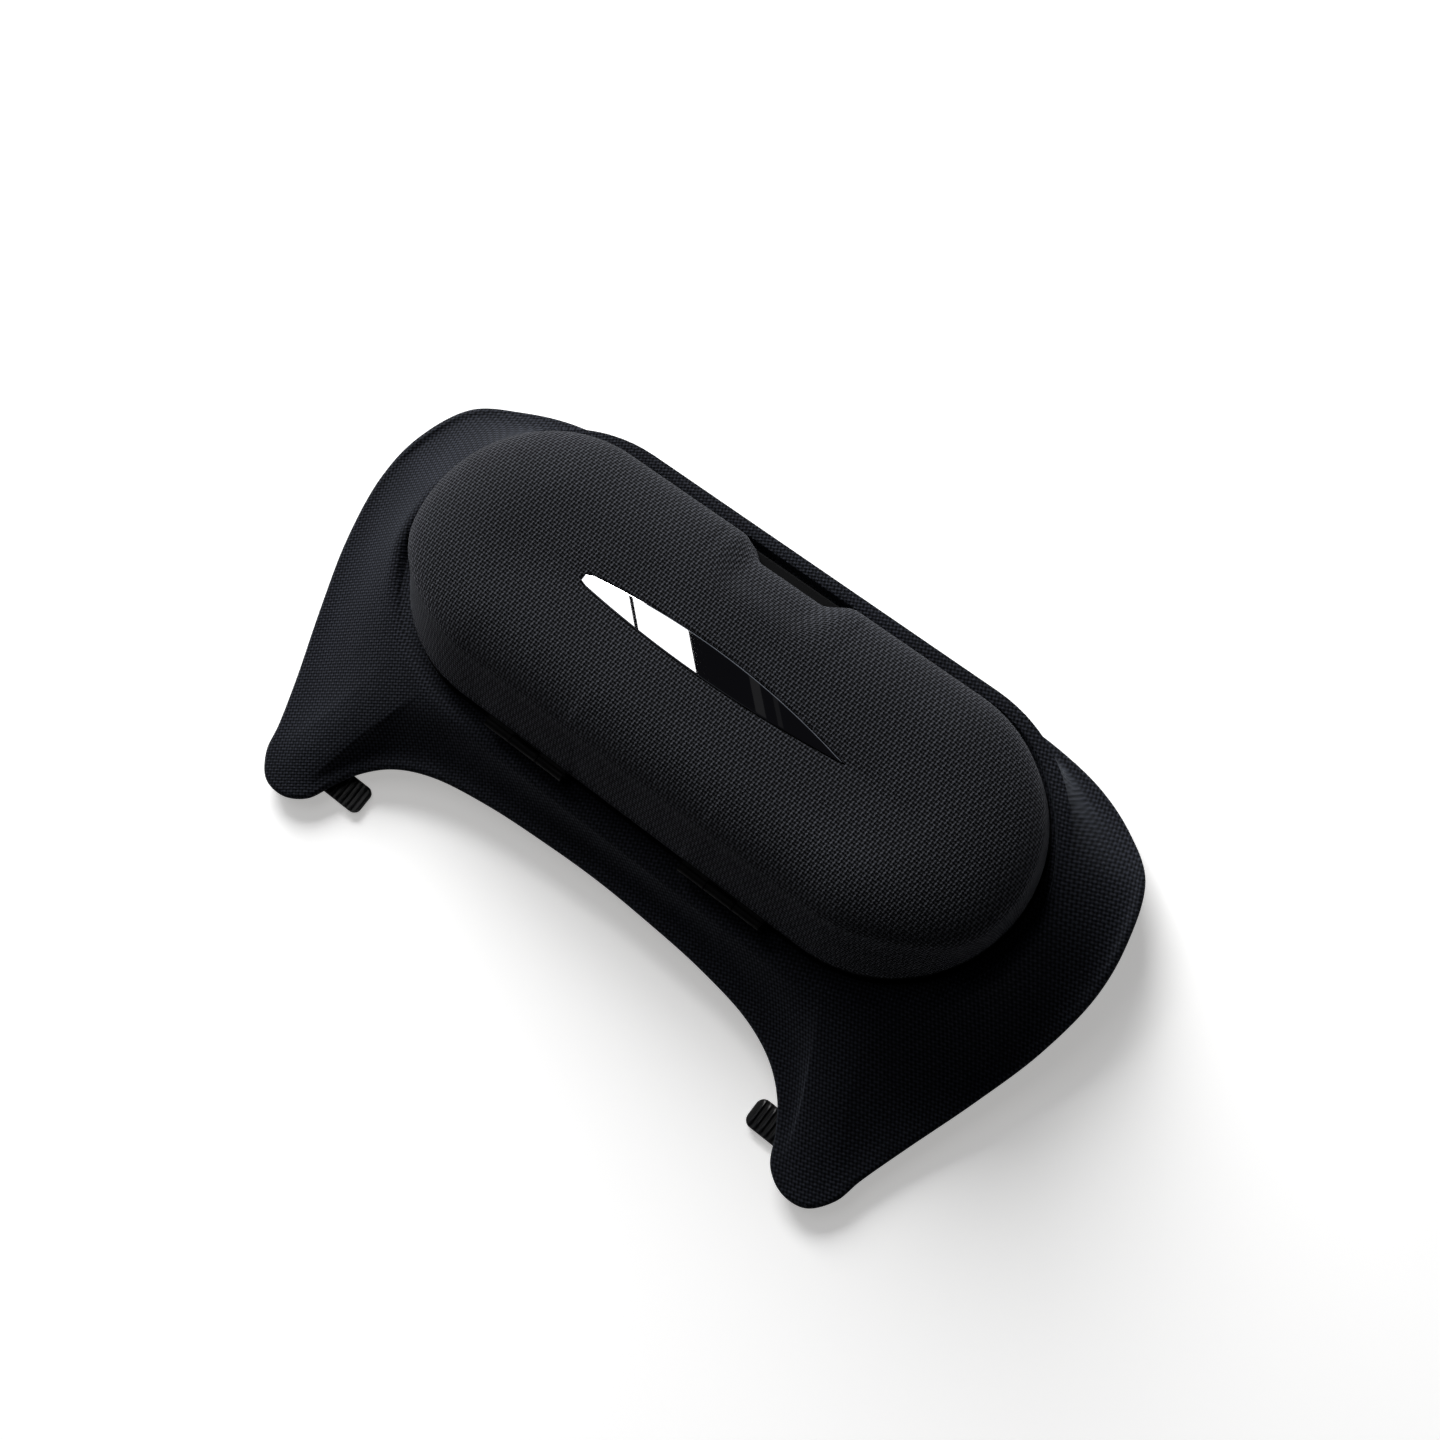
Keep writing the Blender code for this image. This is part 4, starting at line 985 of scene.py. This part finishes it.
class Nodes:
    """Short ways to add and wire shader nodes of one new material or world."""

    def __init__(self, name, library=bpy.data.materials):
        self.owner = library.new(name)
        self.owner.use_nodes = True
        self.tree = self.owner.node_tree
        self.shader = self.tree.nodes.get("Principled BSDF")

    def feed(self, socket, value):
        """Gives an input a number, a colour or another node's output."""
        if isinstance(value, bpy.types.NodeSocket):
            self.tree.links.new(value, socket)
        elif socket.type == "RGBA":
            socket.default_value = (*value, 1.0)
        else:
            socket.default_value = value

    def fill(self, node, **values):
        for name, value in values.items():
            self.feed(node.inputs[name.replace("_", " ")], value)

    def set(self, **values):
        self.fill(self.shader, **values)

    def add(self, kind, **settings):
        node = self.tree.nodes.new(kind)
        for name, value in settings.items():
            setattr(node, name, value)
        return node

    def math(self, operation, *values):
        node = self.add("ShaderNodeMath", operation=operation)
        for socket, value in zip(node.inputs, values):
            self.feed(socket, value)
        return node.outputs[0]

    def blend(self, a, share_a, b, share_b):
        return self.math("ADD", self.math("MULTIPLY", a, share_a), self.math("MULTIPLY", b, share_b))

    def axes(self, vector):
        node = self.add("ShaderNodeSeparateXYZ")
        self.feed(node.inputs[0], vector)
        return node.outputs

    def ramp(self, value, stops):
        node = self.add("ShaderNodeValToRGB")
        self.feed(node.inputs[0], value)
        elements = node.color_ramp.elements
        while len(elements) < len(stops):
            elements.new(0.5)
        for element, (position, colour) in zip(elements, stops):
            element.position = position
            element.color = (*colour, 1.0)
        return node.outputs[0]

    def scalar_ramp(self, value, stops):
        return self.ramp(value, [(position, (level,) * 3) for position, level in stops])

    def mix(self, factor, a, b, blend="MIX"):
        node = self.add("ShaderNodeMix", data_type="RGBA", blend_type=blend)
        for i, value in ((0, factor), (6, a), (7, b)):
            self.feed(node.inputs[i], value)
        return node.outputs[2]

    def place(self):
        return self.add("ShaderNodeTexCoord").outputs["Object"]

    def stretched(self, scale, turn=0.0):
        """Place scaled along each axis and turned about z."""
        node = self.add("ShaderNodeMapping")
        self.fill(node, Scale=scale, Rotation=(0.0, 0.0, turn), Vector=self.place())
        return node.outputs["Vector"]

    def noise(self, scale, detail=2.0, roughness=0.5, vector=None, distortion=0.0):
        node = self.add("ShaderNodeTexNoise")
        self.fill(node, Scale=scale, Detail=detail, Roughness=roughness, Distortion=distortion)
        self.fill(node, Vector=self.place() if vector is None else vector)
        return node.outputs["Fac"]

    def mottled(self, base, scale, low, high):
        """Colour made darker and lighter in slow patches."""
        patches = self.scalar_ramp(self.noise(scale, 3.0, 0.6), [(0.3, low), (0.7, high)])
        return self.mix(1.0, base, patches, blend="MULTIPLY")

    def bump(self, height, strength, distance):
        node = self.add("ShaderNodeBump")
        self.fill(node, Strength=strength, Distance=distance, Height=height)
        self.set(Normal=node.outputs["Normal"])


def wave(nodes, value, period):
    return nodes.math("COSINE", nodes.math("MULTIPLY", value, TAU / period))


def knit_material(name, dark, light, contrast, fine, cell, sheen, bump_distance):
    """Warp knit: small loops in rows, over a slower honeycomb of cells, drawn on the flat fabric."""
    nodes = Nodes(name)
    place = nodes.add("ShaderNodeAttribute", attribute_name=CLOTH, attribute_type="GEOMETRY")
    cloth = place.outputs["Vector"]
    axes = nodes.axes(cloth)
    # Yarn isn't machine-perfect: the rows drift a little.
    drift = nodes.noise(140.0, 2.0, 0.5, vector=cloth)
    shift = nodes.math("MULTIPLY", nodes.math("SUBTRACT", drift, 0.5), 0.35 * MM)
    u = nodes.math("ADD", axes[0], shift)
    v = nodes.math("ADD", axes[1], shift)
    loops = nodes.math("ADD", wave(nodes, u, fine), wave(nodes, v, fine))
    cells = nodes.math("MULTIPLY", wave(nodes, u, cell[0]), wave(nodes, v, cell[1]))
    height = nodes.blend(loops, 0.36, cells, 0.38)
    height = nodes.math("ADD", nodes.math("MULTIPLY", height, 0.5), 0.5)
    yarn = nodes.noise(2600.0, 2.0, 0.6, vector=cloth)
    height = nodes.blend(height, 0.86, yarn, 0.14)
    # The colour runs from dark in the hollows between loops to light on the loops' tops: the knit's pattern, with
    # painted shade in the hollows and painted highlight on the loops.
    level = nodes.scalar_ramp(height, [(0.5 - contrast, 0.0), (0.5, 0.38), (0.5 + contrast, 1.0)])
    nodes.set(Base_Color=nodes.mottled(nodes.mix(level, dark, light), 38.0, 0.84, 1.12))
    nodes.set(Roughness=nodes.scalar_ramp(height, [(0.2, 0.98), (0.8, 0.80)]))
    nodes.bump(height, 1.0, bump_distance)
    nodes.set(Specular_IOR_Level=0.12, Sheen_Weight=sheen[0], Sheen_Roughness=sheen[1], Sheen_Tint=sheen[2])
    return nodes.owner


def felt_material():
    nodes = Nodes("felt_lining")
    pile = nodes.noise(1500.0, 4.0, 0.7, distortion=0.4)
    base = nodes.ramp(pile, [(0.3, (0.018, 0.018, 0.021)), (0.7, (0.055, 0.056, 0.062))])
    nodes.set(Base_Color=nodes.mottled(base, 60.0, 0.8, 1.15))
    nodes.bump(pile, 0.7, 0.25 * MM)
    nodes.set(Roughness=0.95, Specular_IOR_Level=0.1, Sheen_Weight=0.35, Sheen_Roughness=0.5)
    return nodes.owner


def plastic_material(name, colour, rough, grain=0.05, gloss=0.5):
    nodes = Nodes(name)
    texture = nodes.noise(2200.0, 3.0, 0.6)
    scuffs = nodes.noise(90.0, 4.0, 0.65)
    low = tuple(0.8 * c for c in colour)
    high = tuple(1.25 * c for c in colour)
    nodes.set(Base_Color=nodes.ramp(scuffs, [(0.35, low), (0.7, high)]))
    nodes.set(Roughness=nodes.scalar_ramp(scuffs, [(0.3, rough - 0.06), (0.7, rough + 0.08)]))
    nodes.bump(texture, 0.5, grain * MM)
    nodes.set(Specular_IOR_Level=gloss)
    return nodes.owner


def steel_material(name, rough, streak_axis=0, tone=1.0):
    nodes = Nodes(name)
    scale = [9000.0, 9000.0, 9000.0]
    scale[streak_axis] = 300.0
    streaks = nodes.noise(1.0, 3.0, 0.6, vector=nodes.stretched(scale))
    blotch = nodes.noise(400.0, 3.0, 0.6)
    low, high = (tuple(tone * c for c in colour) for colour in ((0.46, 0.46, 0.48), (0.62, 0.62, 0.64)))
    nodes.set(Base_Color=nodes.ramp(blotch, [(0.3, low), (0.7, high)]))
    nodes.set(Roughness=nodes.scalar_ramp(streaks, [(0.3, rough - 0.06), (0.7, rough + 0.1)]))
    nodes.bump(streaks, 0.25, 0.02 * MM)
    nodes.set(Metallic=1.0)
    return nodes.owner


def mirror_material():
    nodes = Nodes("polished_trim")
    hairlines = nodes.stretched((90.0, 5200.0, 1.0), math.radians(3.0))
    lines = nodes.noise(1.0, 2.0, 0.5, vector=hairlines)
    smudge = nodes.noise(55.0, 3.0, 0.6)
    nodes.set(Base_Color=nodes.ramp(smudge, [(0.3, (0.80, 0.80, 0.81)), (0.7, (0.86, 0.86, 0.87))]))
    rough = nodes.math("MULTIPLY", nodes.scalar_ramp(lines, [(0.55, 0.4), (0.75, 1.0)]), 0.022)
    nodes.set(Roughness=rough)
    nodes.set(Metallic=1.0)
    return nodes.owner


def porous_material(name, scale, detail, dark, light, bump, rough, gloss):
    """Open-celled foam."""
    nodes = Nodes(name)
    cells = nodes.noise(scale, detail, 0.7)
    nodes.set(Base_Color=nodes.ramp(cells, [(0.3, dark), (0.7, light)]))
    nodes.bump(cells, *bump)
    nodes.set(Roughness=rough, Specular_IOR_Level=gloss)
    return nodes.owner


def floor_material():
    """Pale floor. Its glow is for the camera only, so it doesn't light the part."""
    nodes = Nodes("studio_floor")
    soft = nodes.noise(3.0, 2.0, 0.5)
    nodes.set(Base_Color=nodes.ramp(soft, [(0.3, (0.90, 0.90, 0.895)), (0.7, (0.93, 0.93, 0.93))]))
    nodes.set(Roughness=0.9, Specular_IOR_Level=0.1)
    ray = nodes.add("ShaderNodeLightPath").outputs["Is Camera Ray"]
    glow = nodes.math("MULTIPLY", ray, FLOOR_GLOW)
    nodes.set(Emission_Strength=glow, Emission_Color=(1.0, 0.99, 0.975))
    return nodes.owner


LID_KNIT = knit_material(
    "lid_honeycomb_knit",
    dark=(0.0003, 0.0003, 0.0005),
    light=(0.043, 0.0455, 0.054),
    contrast=0.19,
    fine=0.8 * MM,
    cell=(1.6 * MM, 3.2 * MM),
    sheen=(0.08, 0.35, (0.85, 0.88, 1.0)),
    bump_distance=0.40 * MM,
)
PLATE_KNIT = knit_material(
    "plate_fine_knit",
    dark=(0.0010, 0.0012, 0.0018),
    light=(0.021, 0.0235, 0.0325),
    contrast=0.26,
    fine=0.85 * MM,
    cell=(1.9 * MM, 1.7 * MM),
    sheen=(0.05, 0.40, (0.72, 0.82, 1.0)),
    bump_distance=0.26 * MM,
)
FELT = felt_material()
ABS = plastic_material("black_abs", (0.017, 0.017, 0.018), 0.42)
TRAY_PLASTIC = plastic_material("tray_matte_abs", (0.0028, 0.0028, 0.0032), 0.7, gloss=0.05)
TONGUE_PLASTIC = plastic_material("clip_nylon", (0.006, 0.006, 0.0065), 0.34, grain=0.03, gloss=0.35)
RUBBER = plastic_material("bumper_rubber", (0.014, 0.014, 0.014), 0.75, grain=0.06, gloss=0.3)
STEEL = steel_material("zinc_steel_brushed", 0.34)
BLACK_STEEL = steel_material("black_oxide_steel", 0.55, tone=0.012)
SCREW_STEEL = steel_material("screw_steel", 0.30, streak_axis=1)
MIRROR = mirror_material()
TAPE = porous_material(
    "foam_tape", 2400.0, 3.0, (0.24, 0.24, 0.235), (0.36, 0.36, 0.35), (0.5, 0.1 * MM), 0.7, 0.3
)
FOAM = porous_material(
    "foam_padding", 1800.0, 4.0, (0.035, 0.035, 0.038), (0.085, 0.085, 0.09), (0.8, 0.2 * MM), 0.95, 0.15
)


# ---- the visual model


def dress(obj, material):
    obj.data.materials.clear()
    obj.data.materials.append(material)
    return obj


def fit(obj, material, body, slot, *nodes):
    """Gives a new piece its material and body, and hides the CAD nodes it stands for."""
    dress(obj, material)
    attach(obj, body)
    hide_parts(*nodes)
    return obj


plate = fit(plate_cover(), PLATE_KNIT, "base", "plate_knit", "plate_fabric_cover")
lid = fit(lid_cover(), LID_KNIT, "lid", "lid_knit", "lid_fabric_cover")
fit(carrier_piece(), TRAY_PLASTIC, "base", "black_abs", "carrier_plate")
fit(tray_piece(), TRAY_PLASTIC, "base", "black_abs", "tray")
fit(tray_lining(), FELT, "base", "felt", "tray_liner")
fit(lid_lining(), FELT, "lid", "felt", "lid_liner")
fit(lid_frame(), TRAY_PLASTIC, "lid", "black_abs", "lid_frame")
fit(blade_piece(), MIRROR, "lid", "mirror_steel", "blade_trim")
for side, direction, x in (("left", -1, HINGE_XS[0]), ("right", 1, HINGE_XS[1])):
    fit(tongue_piece(side, direction), TONGUE_PLASTIC, "base", "black_abs", f"clip_tongue_{side}")
    fit(pad_piece(side, f"adhesive_pad_{side}"), TAPE, "base", "adhesive", f"adhesive_pad_{side}")
    fit(leaf_piece("base", side, x), BLACK_STEEL, "base", "black_steel", f"hinge_base_leaf_{side}")
    fit(leaf_piece("lid", side, x), BLACK_STEEL, "lid", "black_steel", f"hinge_lid_leaf_{side}")
    fit(pin_piece(side, x), BLACK_STEEL, "base", "black_steel", f"hinge_pin_{side}")
for body, members in frame["record"]["behaviour"]["bodies"].items():
    for node in members:
        if "screw" in node:
            fit(screw_piece(node), SCREW_STEEL, body, "zinc_steel", node)

CAD_MATERIALS = {"lid_foam": FOAM, "lid_shell": ABS, "trim_adhesive": TAPE}
for side in ("left", "right"):
    CAD_MATERIALS[f"lid_magnet_{side}"] = STEEL
    CAD_MATERIALS[f"striker_plate_{side}"] = STEEL
    CAD_MATERIALS[f"bumper_{side}"] = RUBBER
for node, material in CAD_MATERIALS.items():
    for slot in frame["nodes"][node].material_slots:
        slot.material = material


# ---- floor, lights and camera

floor_mesh = bpy.data.meshes.new("studio_floor")
floor_bm = bmesh.new()
bmesh.ops.create_grid(floor_bm, x_segments=1, y_segments=1, size=3.0)
floor_bm.to_mesh(floor_mesh)
floor_bm.free()
floor = add_object("studio_floor", floor_mesh)
floor.location = (0.0, 0.0, -0.0002)
dress(floor, floor_material())


def area_light(name, centre, target, size, radiance):
    """Soft box: radiance times its area and pi is its power."""
    data = bpy.data.lights.new(name, "AREA")
    data.shape = "RECTANGLE"
    data.size, data.size_y = size
    data.energy = radiance * math.pi * size[0] * size[1]
    light = add_object(name, data)
    light.location = centre
    light.rotation_euler = (Vector(target) - Vector(centre)).to_track_quat("-Z", "Y").to_euler()
    light.visible_camera = False
    return light


# The key comes in low from the far left, so what faces the legs stays dark.
KEY_FROM = Vector((-0.69, 0.57, 0.45)).normalized()
area_light("key", KEY_FROM * 1.15, (0.0, 0.0, 0.0), (0.75, 0.75), 14.5)

# Small panels overhead, which only the polished trim shows: a white end with a thin dark bar, and two faint
# streaks. Distances run along the panels' own width, from the white end's edge towards the left.
PANEL_Z = 0.70
PANEL_EDGE = Vector((-0.215, 0.128))
PANEL_TURN = math.radians(48.6)
for panel, start, end, radiance in (
    ("panel_white_inner", 0.0, 0.0284, 1.7),
    ("panel_white_outer", 0.0304, 0.200, 1.7),
    ("panel_streak_1", -0.0345, -0.0295, 0.012),
    ("panel_streak_2", -0.0430, -0.0405, 0.006),
):
    across = Vector((math.cos(PANEL_TURN), math.sin(PANEL_TURN)))
    centre = PANEL_EDGE - across * 0.5 * (start + end)
    spot = (centre.x, centre.y, PANEL_Z)
    light = area_light(panel, spot, (centre.x, centre.y, 0.0), (end - start, 0.42), radiance)
    light.rotation_euler = (0.0, 0.0, PANEL_TURN)

# The backdrop lights the part faintly from the near right, and is plain white for the camera.
studio = Nodes("studio", bpy.data.worlds)
bpy.context.scene.world = studio.owner
axes = studio.axes(studio.add("ShaderNodeTexCoord").outputs["Generated"])
level = axes["Z"]
for axis, weight in (("X", 0.45), ("Y", -0.55)):
    level = studio.math("MULTIPLY_ADD", axes[axis], weight, level)
sky = studio.ramp(level, [(0.0, (0.17, 0.185, 0.215)), (0.6, (0.004, 0.004, 0.005))])
fill = studio.tree.nodes["Background"]
studio.fill(fill, Color=sky, Strength=1.0)
seen = studio.add("ShaderNodeBackground")
studio.fill(seen, Color=(1.0, 1.0, 1.0))
ray = studio.add("ShaderNodeLightPath").outputs["Is Camera Ray"]
choice = studio.add("ShaderNodeMixShader")
for i, source in enumerate((ray, fill.outputs[0], seen.outputs[0])):
    studio.feed(choice.inputs[i], source)
studio.fill(studio.tree.nodes["World Output"], Surface=choice.outputs[0])

camera_data = bpy.data.cameras.new("photo_camera")
camera_data.lens = 50.0
camera_data.sensor_width = 36.0
camera_data.clip_start = 0.01
camera = add_object("photo_camera", camera_data)
level_right = Vector((math.cos(AZIMUTH), math.sin(AZIMUTH), 0.0))
level_up = UP.cross(level_right) * math.sin(ELEVATION) + UP * math.cos(ELEVATION)
right = math.cos(ROLL) * level_right - math.sin(ROLL) * level_up
up = math.sin(ROLL) * level_right + math.cos(ROLL) * level_up
turn = Matrix((right, up, right.cross(up))).transposed().to_4x4()
camera.matrix_world = Matrix.Translation(CAMERA_PLACE) @ turn
bpy.context.scene.camera = camera
bpy.context.scene.view_settings.view_transform = "Standard"
